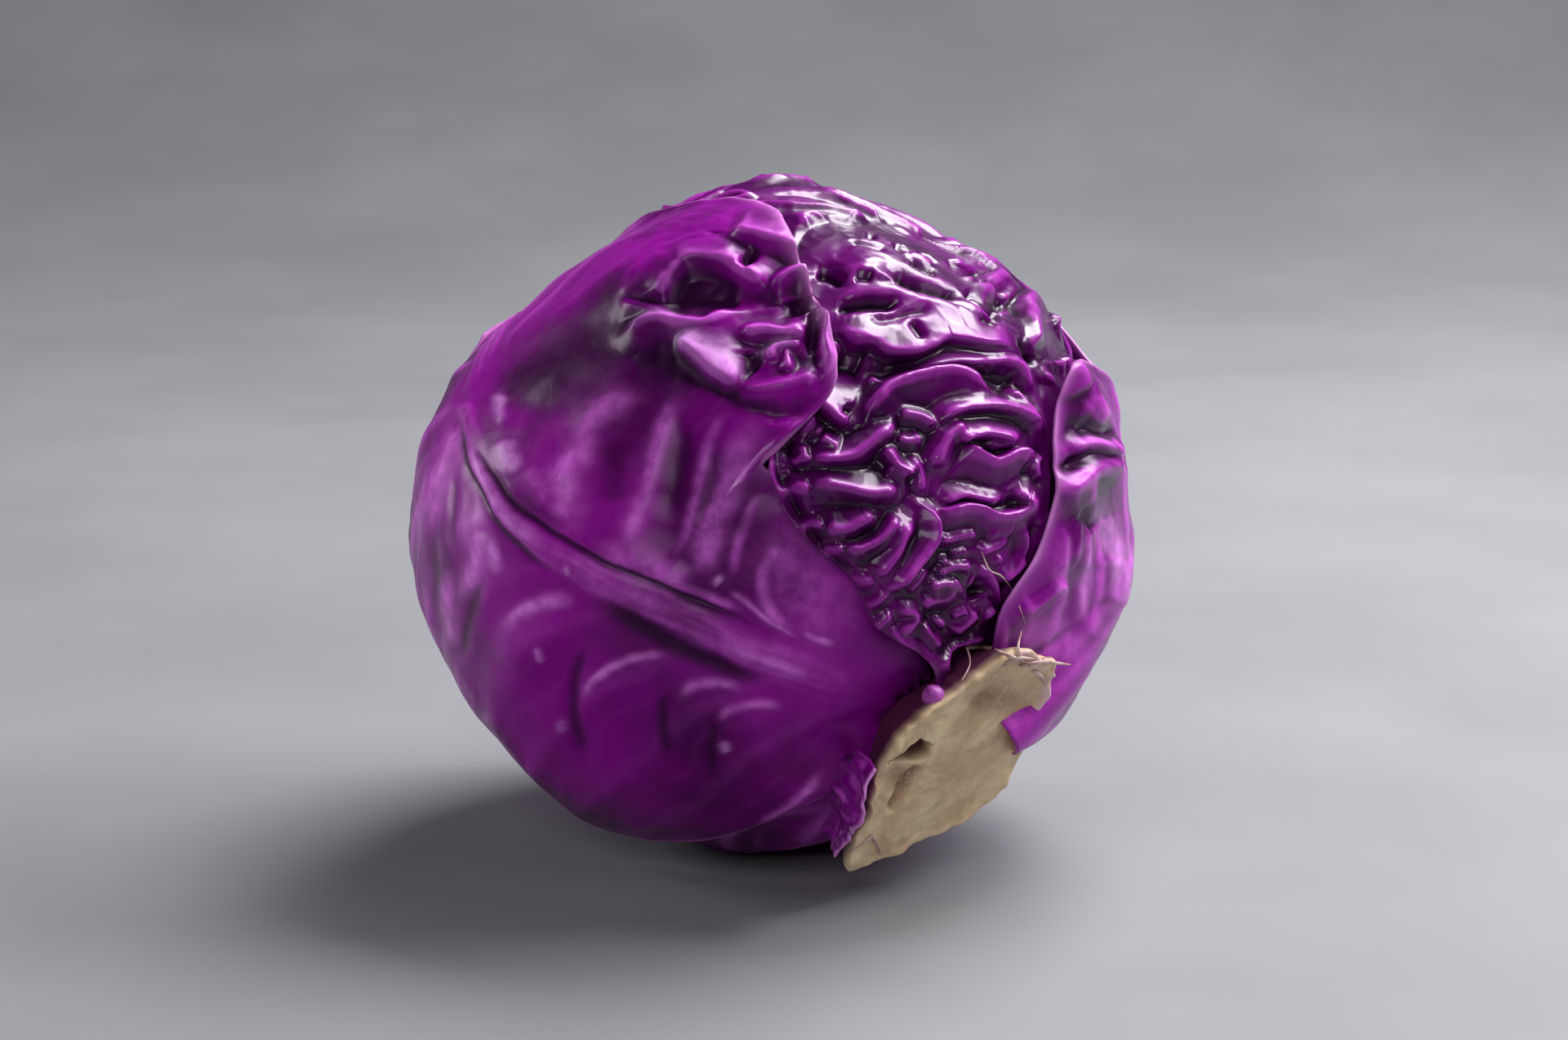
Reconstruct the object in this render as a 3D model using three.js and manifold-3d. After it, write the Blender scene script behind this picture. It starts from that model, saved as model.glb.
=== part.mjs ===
// A red cabbage head, lying on its side on a small flat spot, its cut stump turned to the front.
// Millimetres, +Z up. The front is the side seen from -Y, a little from above. The origin is the
// middle of the flat spot, straight below the middle of the head.
//
// The head is built from the inside out. Every leaf is a thin blade laid over what is already
// there: each of its corners has a direction from the middle of the head and a distance along it.
import * as THREE from "three";
import { mergeVertices } from "three/addons/utils/BufferGeometryUtils.js";
import Module from "manifold-3d";

const wasm = await Module();
wasm.setup();

// Driving dimensions
const restHeight = 64.5; // middle of the head above the surface that it lies on
const headHalf = { wide: 69, deep: 66.5, high: 64 }; // half sizes of the finished head
const innerDepth = 7; // from the smooth outside down to the inner head
const innerRest = 2.3; // least height of the inner head above the surface that it lies on
const bladeThick = 1.05; // a leaf blade
const bladeGap = 0.5; // clear space between two blades
const stumpStand = 5.4; // how far the cut face stands out of the leaf bases
const viewDistance = 720; // the distance at which the places on the front were noted
const viewAngle = 12; // and the height above the horizon, in degrees
const viewRadius = 67; // the head as a plain ball, for turning those places into directions

const rad = THREE.MathUtils.degToRad;
const deg = THREE.MathUtils.radToDeg;
const vec = (x, y, z) => new THREE.Vector3(x, y, z);
const middle = vec(0, 0, restHeight);

// The front view's own axes
const right = vec(1, 0, 0);
const up = vec(0, Math.sin(rad(viewAngle)), Math.cos(rad(viewAngle)));
const near = vec(0, -Math.cos(rad(viewAngle)), Math.sin(rad(viewAngle)));
const mix = (a, b, c) =>
  vec(0, 0, 0).addScaledVector(right, a).addScaledVector(up, b).addScaledVector(near, c).normalize();

// The direction of a place on the front, given in millimetres right of and above the head's middle.
function seenAt(a, b) {
  const d = viewDistance;
  const spread = a * a + b * b + d * d;
  const t = (d * d - Math.sqrt(Math.max(0, d ** 4 - spread * (d * d - viewRadius ** 2)))) / spread;
  return mix(t * a, t * b, d - t * d);
}

// And back: where a direction shows on the front. Null on the far side.
function placeSeen(dir) {
  const toward = dir.dot(near) * viewRadius;
  if (toward < 0) return null;
  const scale = (viewRadius * viewDistance) / (viewDistance - toward);
  return [dir.dot(right) * scale, dir.dot(up) * scale];
}

const smooth = (x, low, high) => THREE.MathUtils.smoothstep(x, Math.min(low, high), Math.max(low, high));
const fade = (x, low, high) => (low < high ? smooth(x, low, high) : 1 - smooth(x, high, low));

// A value read off a short table of [place, value] rows, eased between the rows.
function reading(table, x) {
  if (x <= table[0][0]) return table[0][1];
  for (let i = 1; i < table.length; i++) {
    const [x0, y0] = table[i - 1];
    const [x1, y1] = table[i];
    if (x <= x1) {
      const t = (x - x0) / (x1 - x0);
      const before = table[Math.max(0, i - 2)];
      const after = table[Math.min(table.length - 1, i + 1)];
      const m0 = ((y1 - before[1]) / (x1 - before[0])) * (x1 - x0);
      const m1 = ((after[1] - y0) / (after[0] - x0)) * (x1 - x0);
      const t2 = t * t;
      const t3 = t2 * t;
      return (2 * t3 - 3 * t2 + 1) * y0 + (t3 - 2 * t2 + t) * m0 + (3 * t2 - 2 * t3) * y1 + (t3 - t2) * m1;
    }
  }
  return table[table.length - 1][1];
}

// The stalk points at the lower right of the front. Leaves are placed by turns about it, in
// degrees: 0 is the front leaf, and positive turns go down and round the back.
const stem = seenAt(34.5, -48.2);
const frontRun = seenAt(-36.5, -7.5).addScaledVector(stem, -seenAt(-36.5, -7.5).dot(stem)).normalize();
const frontSide = vec(0, 0, 0).crossVectors(stem, frontRun);
const cutFace = mix(0.59, -0.59, 0.55); // the way the knife's cut faces
const aboutStem = (turn, out) =>
  vec(0, 0, 0)
    .addScaledVector(stem, Math.cos(rad(out)))
    .addScaledVector(frontRun, Math.sin(rad(out)) * Math.cos(rad(turn)))
    .addScaledVector(frontSide, Math.sin(rad(out)) * Math.sin(rad(turn)));

// Broad swellings and hollows of the whole head: direction, width in degrees, height
const swellings = [
  [mix(-0.57, 0.82, 0.1), 20, -6.5],
  [mix(-0.94, 0.34, -0.2), 18, -4.4],
  [mix(-0.76, 0.64, 0.1), 12, 2.6],
  [mix(-0.42, 0.9, 0.1), 14, -1.4],
  [mix(0.03, 1, -0.02), 12, 3.6],
  [mix(0, -1, 0.2), 13, -2.6],
  [mix(-0.85, -0.5, 0.15), 30, 2.8],
  [mix(-0.3, 0.4, 0.87), 30, 1],
  [mix(0.97, 0.05, 0.1), 22, 2],
  [mix(0.75, 0.66, 0.05), 10, 3],
  [mix(0.89, 0.46, 0.05), 9, -2.6],
  [mix(0.45, 0.85, -0.3), 26, -1.6],
  [stem, 24, -4.6],
  [vec(0, 0, -1), 25, 5.6],
];

// Distance from the middle of the head to its finished outside, as one smooth form
function outside(dir) {
  const plain = 1 / Math.hypot(dir.x / headHalf.wide, dir.y / headHalf.deep, dir.z / headHalf.high);
  return swellings.reduce((r, [at, width, height]) => {
    const away = deg(Math.acos(THREE.MathUtils.clamp(dir.dot(at), -1, 1)));
    return r + height * Math.exp(-((away / width) ** 2));
  }, plain);
}

// Folds of the two crumpled zones on the front, as crest lines: [height, half width, places].
// A negative height is a hollow. Places are millimetres right of and above the head's middle.
const foldsCrinkled = [
  [2.8, 2.4, [[36.5, 13], [38.5, 15.5], [44, 16.5], [49.5, 15.5], [51.5, 13], [49.5, 10], [44, 9], [38.5, 10], [36.5, 13]]],
  [-2.6, 3, [[42, 13], [46, 13]]],
  [2.6, 2.4, [[31.5, 7], [32, 14], [35, 19.5], [41, 23], [48, 23], [53.5, 19]]],
  [3.2, 2.8, [[19.5, 17], [22.5, 23], [28, 27], [34.5, 28], [40, 26.5], [44, 22.5]]],
  [3, 2.6, [[11, 38.5], [17.5, 36.5], [23.5, 35.5], [32, 34.5], [40, 33], [50, 31.5]]],
  [2.2, 2.8, [[16, 30], [11.5, 23.5], [8, 17]]],
  [2.6, 2.6, [[8.5, 11], [13, 12], [19.5, 16], [24.5, 19.5], [29.5, 19]]],
  [3, 3, [[0.5, 5.5], [7, 4.5], [18, 4.5], [28, 7]]],
  [2.6, 2.8, [[5, -2.5], [11.5, -6.5], [18, -5.5], [24, -0.5], [27.5, 2.5]]],
  [2.4, 2.4, [[20, -11.5], [23.5, -8.5], [29.5, -4.5], [32, -0.5]]],
  [2.4, 2.5, [[21, -17.5], [26.5, -13], [32.5, -6.5], [35, -2]]],
  [2.6, 2.2, [[39, 0], [42.5, -2], [48, -2.5], [53.5, -0.5], [54, 3], [51, 5]]],
  [2, 2.6, [[25.5, -22], [30.5, -18], [37, -14.5], [43, -10]]],
  [1.6, 2.2, [[33.5, -23.5], [39, -18.5], [45, -14]]],
  [2.4, 4.4, [[4, 61], [14, 58], [27, 51], [40, 43.5], [52, 37]]],
  [2.2, 4, [[9, 50.5], [20, 47.5], [31, 43.5], [43, 38.5], [53, 33.5]]],
  [1.8, 3.4, [[11, 43], [22, 41], [34, 38], [46, 34.5]]],
  [-2.6, 1.9, [[23.3, 50.4], [28, 47.5], [33.7, 44.3], [38.5, 42.7]]],
  [-2.2, 1.7, [[12.5, 44], [17.7, 43], [24, 42.7], [28.9, 42.7]]],
  [-2, 2.4, [[8.5, 52.8], [11.3, 51.5], [13.7, 49.1]]],
  [-2.4, 2.2, [[38.5, 45.5], [41.6, 43], [44.8, 42], [49.1, 44.3]]],
  [-2.6, 2.6, [[11, 34.5], [17.7, 33], [27, 32.5], [38, 31], [50, 28.5]]],
  [1.8, 1.4, [[27.3, 30], [34.4, 31.3], [41.6, 31.6], [48, 30], [50.4, 28.4]]],
];
const foldsFront = [
  [3, 3, [[-20.5, 40.5], [-13.5, 35.5], [-8, 29], [-0.5, 24], [6, 23.5]]],
  [2, 2.8, [[10, 31], [9.5, 39], [5.5, 47.5], [2, 56.5]]],
  [-2.6, 4.6, [[-18, 45], [-12.5, 44.5], [-8, 42]]],
  [-2.4, 3.2, [[-0.5, 52.5], [2, 46]]],
  [-2, 3, [[0, 36.5], [5, 31.5]]],
  [1.8, 2.4, [[-3, 52.5], [-4, 44.5], [-2, 36.5], [0, 28.5]]],
  [1.3, 3.4, [[-39.5, 39], [-28.5, 44.5], [-16, 50.5], [-3, 56.5]]],
];

// Lobes and hollows of the right leaf beside it
const foldsRight = [
  [2.6, 2, [[56.5, 5.1], [59.2, 7.7], [61.9, 9.1], [65.6, 7.7]]],
  [2, 1.8, [[58.4, 13.1], [63.6, 12.3]]],
  [2.4, 2.4, [[57.5, 20], [61.5, 17.5]]],
  [2.2, 2.4, [[53.9, 28], [57, 22.5]]],
  [1.8, 2.2, [[52.5, 34], [56, 29]]],
  [-1.6, 1.8, [[56.9, 11.3], [56.9, 8]]],
  [1.4, 1.6, [[56.5, -2], [56, -11.5]]],
  [1.4, 1.6, [[59.5, -2], [59.2, -12.3]]],
];

// Height of a set of folds at a place on the front
function foldHeight(folds, [a, b]) {
  let total = 0;
  for (const [height, width, line] of folds) {
    let best = Infinity;
    let along = 0;
    for (let i = 0; i + 1 < line.length; i++) {
      const [x0, y0] = line[i];
      const [dx, dy] = [line[i + 1][0] - x0, line[i + 1][1] - y0];
      const t = THREE.MathUtils.clamp(((a - x0) * dx + (b - y0) * dy) / (dx * dx + dy * dy), 0, 1);
      const away = Math.hypot(a - x0 - t * dx, b - y0 - t * dy);
      if (away < best) {
        best = away;
        along = (i + t) / (line.length - 1);
      }
    }
    const ends = 0.55 + 0.45 * Math.sin(Math.PI * along);
    total += height * ends * Math.exp(-((best / width) ** 2));
  }
  return total;
}

// The leaves, from the innermost to the outermost. Angles are in degrees. `turn` places the leaf
// about the stem; in its own frame `along` runs from the stem to the tip and `across` to its sides.
// The tables give [along, across] of the midrib and of the two margins.
const leafBack = {
  name: "leaf_back", open: 0, turn: 178, from: 10, to: 214, round: 16, rows: 21, columns: 14, seed: 1.7,
  midrib: [[10, 0], [60, 3], [110, -3], [214, 0]],
  low: [[10, -8], [20, -18], [30, -28], [45, -38], [75, -46], [105, -48], [150, -50], [190, -44], [214, -22]],
  high: [[10, 8], [20, 18], [30, 28], [45, 38], [75, 46], [105, 48], [150, 50], [190, 44], [214, 22]],
};
const leafBottom = {
  name: "leaf_bottom", open: 1, turn: 115, from: 10, to: 176, round: 14, rows: 20, columns: 14, seed: 4.1,
  midrib: [[10, -2], [56, -6], [110, 2], [176, 0]],
  low: [[10, -9], [20, -20], [30, -29], [45, -38], [75, -46], [105, -48], [145, -42], [176, -18]],
  high: [[10, 8], [20, 18], [30, 28], [45, 37], [75, 48], [105, 50], [145, 44], [176, 18]],
};
const leafLeft = {
  name: "leaf_left", open: 1, turn: 62, from: 10, to: 168, round: 14, rows: 19, columns: 14, seed: 2.9,
  midrib: [[10, -2], [60, -6], [110, 4], [168, 2]],
  low: [[10, -9], [20, -20], [30, -32], [45, -49], [60, -59], [80, -61], [104, -59], [125, -52], [150, -38], [168, -16]],
  high: [[10, 6], [20, 12], [30, 16], [46, 20], [66, 27], [85, 43], [105, 52], [140, 47], [168, 20]],
};
const leafFront = {
  name: "leaf_front", open: 0.8, turn: 0, from: 10, to: 166, round: 10, hang: 3.6, columns: 22, seed: 0.6,
  stops: [10, 14, 18, 23, 28, 34, 40, 46, 52, 56.5, 58, 61.5, 63, 67, 71.5, 76, 81, 86, 92, 98, 105, 112, 120, 128,
    137, 146, 156, 166],
  midrib: [[10, -5], [19, -9.2], [33, -8.4], [52, -5.3], [73, 0], [85, 3], [98, 5], [110, 4.6], [130, 3], [166, 2]],
  low: [[10, -12], [18, -19], [28, -27], [40, -30.5], [52, -31], [56.5, -30.5], [58, -29.5], [61.5, -30.5],
    [63, -43.5], [67, -48.5], [71.5, -51], [80, -54], [92, -56], [112, -57], [132, -56], [146, -48], [166, -18]],
  high: [[10, 5], [14, 9], [18, 17], [23, 35], [28, 49], [34, 57], [48, 60], [70, 59], [86, 55.5], [114, 42],
    [134, 36], [146, 31], [166, 12]],
};
const leafCrinkled = {
  name: "leaf_crinkled", turn: -75, from: 10, to: 152, round: 8, rows: 40, columns: 30,
  midrib: [[10, 0], [30, 1], [60, -7], [100, -18], [152, -14]],
  low: [[10, -8], [18, -14], [25, -19], [35, -25], [46, -29], [55, -35], [65, -47], [75, -61], [90, -72], [112, -74],
    [135, -61], [152, -34]],
  high: [[10, 7], [18, 9.5], [22, 14], [24, 18], [26.5, 21.5], [33.5, 24.8], [39, 30], [46, 35], [55, 37], [60, 35], [63, 30.5],
    [67, 29.5], [72, 28], [80, 26], [90, 25], [102, 29], [115, 35], [135, 39], [152, 27]],
};
const leafRight = {
  name: "leaf_right", open: 0.3, turn: -130, from: 10, to: 164, round: 14, rows: 27, columns: 19, seed: 5.2,
  midrib: [[10, 0], [40, -8], [70, -19], [110, -24], [164, -6]],
  low: [[10, -8], [20, -17], [30, -28], [45, -42], [70, -56], [95, -62], [125, -56], [164, -22]],
  high: [[10, 8], [14, 14], [18, 18.4], [23, 19.7], [31, 20.7], [42, 24.5], [50, 28], [60, 29.5], [66, 27], [73, 14],
    [80, -1], [90, -7], [106, -5], [122, 0], [145, 6], [164, 6]],
};
const leafOrder = [leafBack, leafBottom, leafLeft, leafFront, leafCrinkled, leafRight];

// Each leaf's own frame, and the places of its rows along it
for (const leaf of leafOrder) {
  leaf.run = aboutStem(leaf.turn, 90);
  leaf.side = vec(0, 0, 0).crossVectors(stem, leaf.run);
  leaf.rows ??= leaf.stops.length - 1;
  leaf.stops ??= Array.from({ length: leaf.rows + 1 }, (_, j) => leaf.from + ((leaf.to - leaf.from) * j) / leaf.rows);
}

const leafDirection = (leaf, along, across) =>
  vec(0, 0, 0)
    .addScaledVector(stem, Math.cos(rad(across)) * Math.cos(rad(along)))
    .addScaledVector(leaf.run, Math.cos(rad(across)) * Math.sin(rad(along)))
    .addScaledVector(leaf.side, Math.sin(rad(across)));

// The crumpled lobe of the front leaf hangs back towards the stem over the notch in its margin.
const hang = (leaf, along, u) => (leaf.hang ?? 0) * fade(along, 61.5, 63) * fade(along, 84, 66) * fade(u, -0.45, -1);

// Along and across for a share v of the length and a share u of the half width
function leafPlace(leaf, u, v) {
  const along = leaf.from + (leaf.to - leaf.from) * v;
  const rib = reading(leaf.midrib, along);
  const margin = reading(u < 0 ? leaf.low : leaf.high, along);
  return [along - leaf.round * v ** 4 * u * u - hang(leaf, along, u), rib + Math.abs(u) * (margin - rib)];
}

// And back: [u, v] of a direction
function leafShares(leaf, dir) {
  let along = deg(Math.atan2(dir.dot(leaf.run), dir.dot(stem)));
  if (along < -60) along += 360;
  const across = deg(Math.asin(THREE.MathUtils.clamp(dir.dot(leaf.side), -1, 1)));
  let nominal = along;
  let u = 0;
  let v = 0;
  for (let i = 0; i < 5; i++) {
    const rib = reading(leaf.midrib, nominal);
    const margin = reading(across < rib ? leaf.low : leaf.high, nominal);
    u = (across - rib) / Math.abs(margin - rib);
    v = (nominal - leaf.from) / (leaf.to - leaf.from);
    nominal = along + leaf.round * THREE.MathUtils.clamp(v, 0, 1) ** 4 * Math.min(1.2, u * u) + hang(leaf, nominal, u);
  }
  return [u, v];
}

// The raised midrib and side veins of the outer face, in millimetres
const ribHeight = (v) => 2.3 * (1 - v) ** 1.4 + 0.4;
const ribWidth = (v) => 5.6 * (1 - v) + 1.6; // half width, degrees across
const veinSpacing = 14; // degrees along the midrib
const veinSweep = 20; // how far a side vein runs up the leaf before it turns outwards
const veinTurn = 12;
function ribs(leaf, along, fromRib, u, v) {
  const band = ribHeight(v) / (1 + (fromRib / ribWidth(v)) ** 4);
  const swept = along - veinSweep * (1 - Math.exp(-Math.abs(fromRib) / veinTurn)) + (fromRib > 0 ? 0 : veinSpacing / 2);
  const wave = 0.5 + 0.5 * Math.cos((2 * Math.PI * swept) / veinSpacing);
  const veins = wave ** 2 * fade(Math.abs(fromRib), 2, 9) * fade(Math.abs(u), 1, 0.72);
  return band + 0.7 * veins;
}

// Soft waves along the margins that no other leaf covers
function marginWaves(leaf, along, across, u, v) {
  const edge = leaf.open * fade(u, 0.6, 1) * fade(v, 0, 0.3);
  const wave = Math.sin(rad(along * 17 + leaf.seed * 100)) + Math.sin(rad(across * 21 + along * 6 + leaf.seed * 57));
  return edge * (0.7 + 0.35 * wave);
}

// Pleats of the crinkled leaf where no single fold was noted: they run across it
function pleats(along, across) {
  const bent = along + 5 * Math.sin(rad(across * 5.2)) + 2.4 * Math.sin(rad(across * 13 + along * 4));
  return 3.1 + 1.3 * Math.sin(rad(bent * 31)) + 0.6 * Math.sin(rad(bent * 17 + across * 9));
}

// How far a leaf's blade is lifted off what lies under it by its own folds
function lift(leaf, dir, along, across, u, v) {
  const seen = placeSeen(dir);
  if (leaf === leafCrinkled) {
    const start = fade(v, 0, 0.12);
    const noted = seen ? 1.6 + foldHeight(foldsCrinkled, seen) : 0;
    const front = seen ? fade(Math.hypot(seen[0] - 22, seen[1] - 16), 56, 44) : 0;
    const free = pleats(along, across);
    const underRight = 1 - fade(leafShares(leafRight, dir)[0], 0.97, 1.09);
    const [uFront, vFront] = leafShares(leafFront, dir);
    const underLobe = fade(uFront, -1.15, -0.95) * fade(vFront, 0.33, 0.36);
    return start * (1 - 0.85 * underRight) * (1 - 0.55 * underLobe) * Math.max(0, front * noted + (1 - front) * free);
  }
  const waves = marginWaves(leaf, along, across, u, v);
  if (leaf === leafRight && seen) return waves + Math.max(0, 0.3 + foldHeight(foldsRight, seen)) * fade(u, -0.2, 0.3);
  if (leaf !== leafFront || !seen) return waves;
  const crumpled = fade(along, 60, 70) * fade(across, -22, -34);
  return waves * (1 - crumpled) + crumpled * Math.max(0, 2 + foldHeight(foldsFront, seen));
}

// Columns stand closer together near the midrib.
const columnPower = 1.25;
const columnShare = (leaf, i) => {
  const s = (2 * i) / leaf.columns - 1;
  return Math.sign(s) * Math.abs(s) ** columnPower;
};
const columnAt = (leaf, u) => {
  const s = Math.sign(u) * Math.min(1, Math.abs(u)) ** (1 / columnPower);
  return Math.min(leaf.columns - 1, Math.floor(((s + 1) / 2) * leaf.columns));
};
const rowAt = (leaf, v) => {
  const along = leaf.from + v * (leaf.to - leaf.from);
  const next = leaf.stops.findIndex((stop) => stop > along);
  return next < 0 ? leaf.rows - 1 : Math.max(0, next - 1);
};

// The two triangles of a cell, as numbers of corners
function cellTriangles(leaf, i, j) {
  const wide = leaf.columns + 1;
  const [a, b, c, d] = [j * wide + i, j * wide + i + 1, (j + 1) * wide + i + 1, (j + 1) * wide + i];
  return [[a, c, b], [a, d, c]];
}

// Shares of a triangle's corners in a direction. One over the distance to the flat face is the sum
// of the shares, each over its corner's distance.
function cornerShares([a, b, c], dir) {
  const bc = vec(0, 0, 0).crossVectors(b, c);
  const ca = vec(0, 0, 0).crossVectors(c, a);
  const ab = vec(0, 0, 0).crossVectors(a, b);
  const whole = a.dot(bc);
  return [dir.dot(bc) / whole, dir.dot(ca) / whole, dir.dot(ab) / whole];
}

// Distance from the middle to the outer face of a finished leaf in a direction, or 0 beside it
function outerFace(leaf, dir) {
  const [u, v] = leafShares(leaf, dir);
  if (Math.abs(u) > 1.04 || v < -0.02 || v > 1.02) return 0;
  const row = rowAt(leaf, v);
  if (leaf.lastRow !== undefined && row >= leaf.lastRow) return 0;
  let best = 0;
  let closest = -Infinity;
  for (const corners of cellTriangles(leaf, columnAt(leaf, u), row)) {
    const shares = cornerShares(corners.map((k) => leaf.directions[k]), dir);
    const inside = Math.min(...shares);
    if (inside <= closest) continue;
    closest = inside;
    const held = shares.map((share) => Math.max(0, share));
    const whole = held.reduce((sum, share) => sum + share, 0);
    best = whole / held.reduce((sum, share, n) => sum + share / leaf.outer[corners[n]], 0);
  }
  return best;
}

const restLimit = (dir, spare) => (dir.z < -0.3 ? (restHeight - spare) / -dir.z : Infinity);
const innerFace = (dir) => Math.min(outside(dir) - innerDepth, restLimit(dir, innerRest));

// Lays a leaf over the inner head and the leaves in `under`, close but bridging the hollows, and
// then lifts it by its own folds and ribs. With `fromRow` only the rows from there on are laid again.
const samples = 4; // points tested along each side of a triangle
const fitRounds = 14;
const lastSweeps = 40;
const floorGap = 0.4; // kept below every leaf but the one that the head lies on
const leastBlade = 0.75; // a blade's thickness where the surface below presses it
function layLeaf(leaf, under, fromRow = 0) {
  const wide = leaf.columns + 1;
  const count = wide * (leaf.rows + 1);
  const cornerAt = (k) => {
    const v = (leaf.stops[Math.floor(k / wide)] - leaf.from) / (leaf.to - leaf.from);
    return [columnShare(leaf, k % wide), v];
  };
  leaf.directions ??= Array.from({ length: count }, (_, k) => leafDirection(leaf, ...leafPlace(leaf, ...cornerAt(k))));
  leaf.bed ??= leaf.directions.map((dir) => innerFace(dir) + bladeGap);
  const bed = leaf.bed;
  const free = (k) => Math.floor(k / wide) >= fromRow;
  const limits = [];
  for (let j = Math.max(0, fromRow - 1); j < leaf.rows; j++) {
    for (let i = 0; i < leaf.columns; i++) {
      for (const corners of cellTriangles(leaf, i, j)) {
        for (let a = 0; a <= samples; a++) {
          for (let b = 0; a + b <= samples; b++) {
            const shares = [a / samples, b / samples, (samples - a - b) / samples];
            const dir = vec(0, 0, 0);
            shares.forEach((share, n) => dir.addScaledVector(leaf.directions[corners[n]], share));
            const length = dir.length();
            dir.normalize();
            if (corners.reduce((sum, k, n) => sum + (free(k) ? shares[n] : 0), 0) < 0.5) continue;
            const need = under.reduce((most, lower) => Math.max(most, outerFace(lower, dir)), innerFace(dir));
            limits.push([corners, shares.map((share) => share / length), 1 / (need + bladeGap)]);
          }
        }
      }
    }
  }
  function project() {
    for (const [corners, shares, limit] of limits) {
      const excess = corners.reduce((sum, k, n) => sum + shares[n] / bed[k], 0) - limit;
      if (excess <= 0) continue;
      const scale = excess / corners.reduce((sum, k, n) => sum + (free(k) ? shares[n] ** 2 : 0), 1e-9);
      corners.forEach((k, n) => {
        if (free(k)) bed[k] = 1 / (1 / bed[k] - scale * shares[n]);
      });
    }
  }
  for (let round = 0; round < fitRounds; round++) {
    const before = [...bed];
    for (let j = fromRow; j <= leaf.rows; j++) {
      for (let i = 0; i < wide; i++) {
        const around = [];
        if (i > 0) around.push(before[j * wide + i - 1]);
        if (i < leaf.columns) around.push(before[j * wide + i + 1]);
        if (j > 0) around.push(before[(j - 1) * wide + i]);
        if (j < leaf.rows) around.push(before[(j + 1) * wide + i]);
        const mean = around.reduce((sum, r) => sum + r, 0) / around.length;
        bed[j * wide + i] += 0.6 * (mean - bed[j * wide + i]);
      }
    }
    for (let sweep = 0; sweep < 4; sweep++) project();
  }
  for (let sweep = 0; sweep < lastSweeps; sweep++) project();
  leaf.inner ??= [];
  leaf.outer ??= [];
  leaf.directions.forEach((dir, k) => {
    if (!free(k)) return;
    const [u, v] = cornerAt(k);
    const [along, across] = leafPlace(leaf, u, v);
    const fromRib = across - reading(leaf.midrib, along);
    const low = bed[k] + lift(leaf, dir, along, across, u, v);
    const high = low + bladeThick + (leaf === leafCrinkled ? 0 : ribs(leaf, along, fromRib, u, v));
    leaf.outer[k] = Math.min(high, restLimit(dir, leaf === leafBottom ? 0 : floorGap));
    leaf.inner[k] = Math.min(low, leaf.outer[k] - leastBlade);
  });
}

// A closed blade from its two faces, split into triangles alike on both
function bladeGeometry(leaf) {
  const wide = leaf.columns + 1;
  const count = leaf.directions.length;
  const positions = [];
  for (const face of [leaf.outer, leaf.inner]) {
    face.forEach((r, k) => positions.push(...leaf.directions[k].clone().multiplyScalar(r).add(middle).toArray()));
  }
  const triangles = [];
  for (let j = 0; j < leaf.rows; j++) {
    for (let i = 0; i < leaf.columns; i++) {
      for (const [a, b, c] of cellTriangles(leaf, i, j)) triangles.push(a, b, c, count + a, count + c, count + b);
    }
  }
  const rim = [];
  for (let i = 0; i < leaf.columns; i++) rim.push(i);
  for (let j = 0; j < leaf.rows; j++) rim.push(j * wide + leaf.columns);
  for (let i = leaf.columns; i > 0; i--) rim.push(leaf.rows * wide + i);
  for (let j = leaf.rows; j > 0; j--) rim.push(j * wide);
  rim.forEach((a, k) => {
    const b = rim[(k + 1) % rim.length];
    triangles.push(a, count + b, count + a, a, b, count + b);
  });
  return new THREE.BufferGeometry()
    .setAttribute("position", new THREE.Float32BufferAttribute(positions, 3))
    .setIndex(triangles);
}

// Solids for joins and cuts
function toSolid(geometry) {
  const plain = geometry.clone();
  plain.deleteAttribute("normal");
  plain.deleteAttribute("uv");
  const merged = mergeVertices(plain, 1e-4);
  return new wasm.Manifold(
    new wasm.Mesh({
      numProp: 3,
      vertProperties: new Float32Array(merged.attributes.position.array),
      triVerts: new Uint32Array(merged.index.array),
    }),
  );
}
function toGeometry(solid) {
  const mesh = solid.getMesh();
  return new THREE.BufferGeometry()
    .setAttribute("position", new THREE.BufferAttribute(new Float32Array(mesh.vertProperties), 3))
    .setIndex(new THREE.BufferAttribute(new Uint32Array(mesh.triVerts), 1));
}
const largest = (solid) => solid.decompose().sort((a, b) => b.volume() - a.volume())[0];

// The stalk's own axes: across the long way of the oval cut, across its short way, and outwards
const longWay = up.clone().addScaledVector(right, 1).normalize();
longWay.addScaledVector(cutFace, -longWay.dot(cutFace)).normalize();
const shortWay = vec(0, 0, 0).crossVectors(cutFace, longWay);
const cutMiddle = stem.clone().multiplyScalar(outside(stem) + stumpStand).add(middle);

// Rings of the stalk, from its root inside the head to the cut: [depth below the cut, size share]
const stalkRings = [[34, 0.34], [26, 0.44], [17, 0.56], [10, 0.72], [5.5, 0.88], [1.6, 1.0], [0, 0.97]];
const stalkSides = 36;
const raggedness = (turn) => 1 + 0.02 * Math.sin(5 * turn + 2.1) + 0.02 * Math.sin(9 * turn + 0.4);
// Distance from the stump's middle to its rim by turn, which starts at its upper right tip and
// runs over the top
const rimShape = [[0, 26.6], [28.6, 25.3], [59.5, 20.2], [97, 20.4], [116, 19.8], [153.5, 19.6], [180, 27.4],
  [197.5, 22.4], [231, 18.6], [278, 20.2], [319, 18.2], [344.5, 22.6], [360, 26.6]];
const stumpReach = (turn) => reading(rimShape, ((turn % 360) + 360) % 360);

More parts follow.
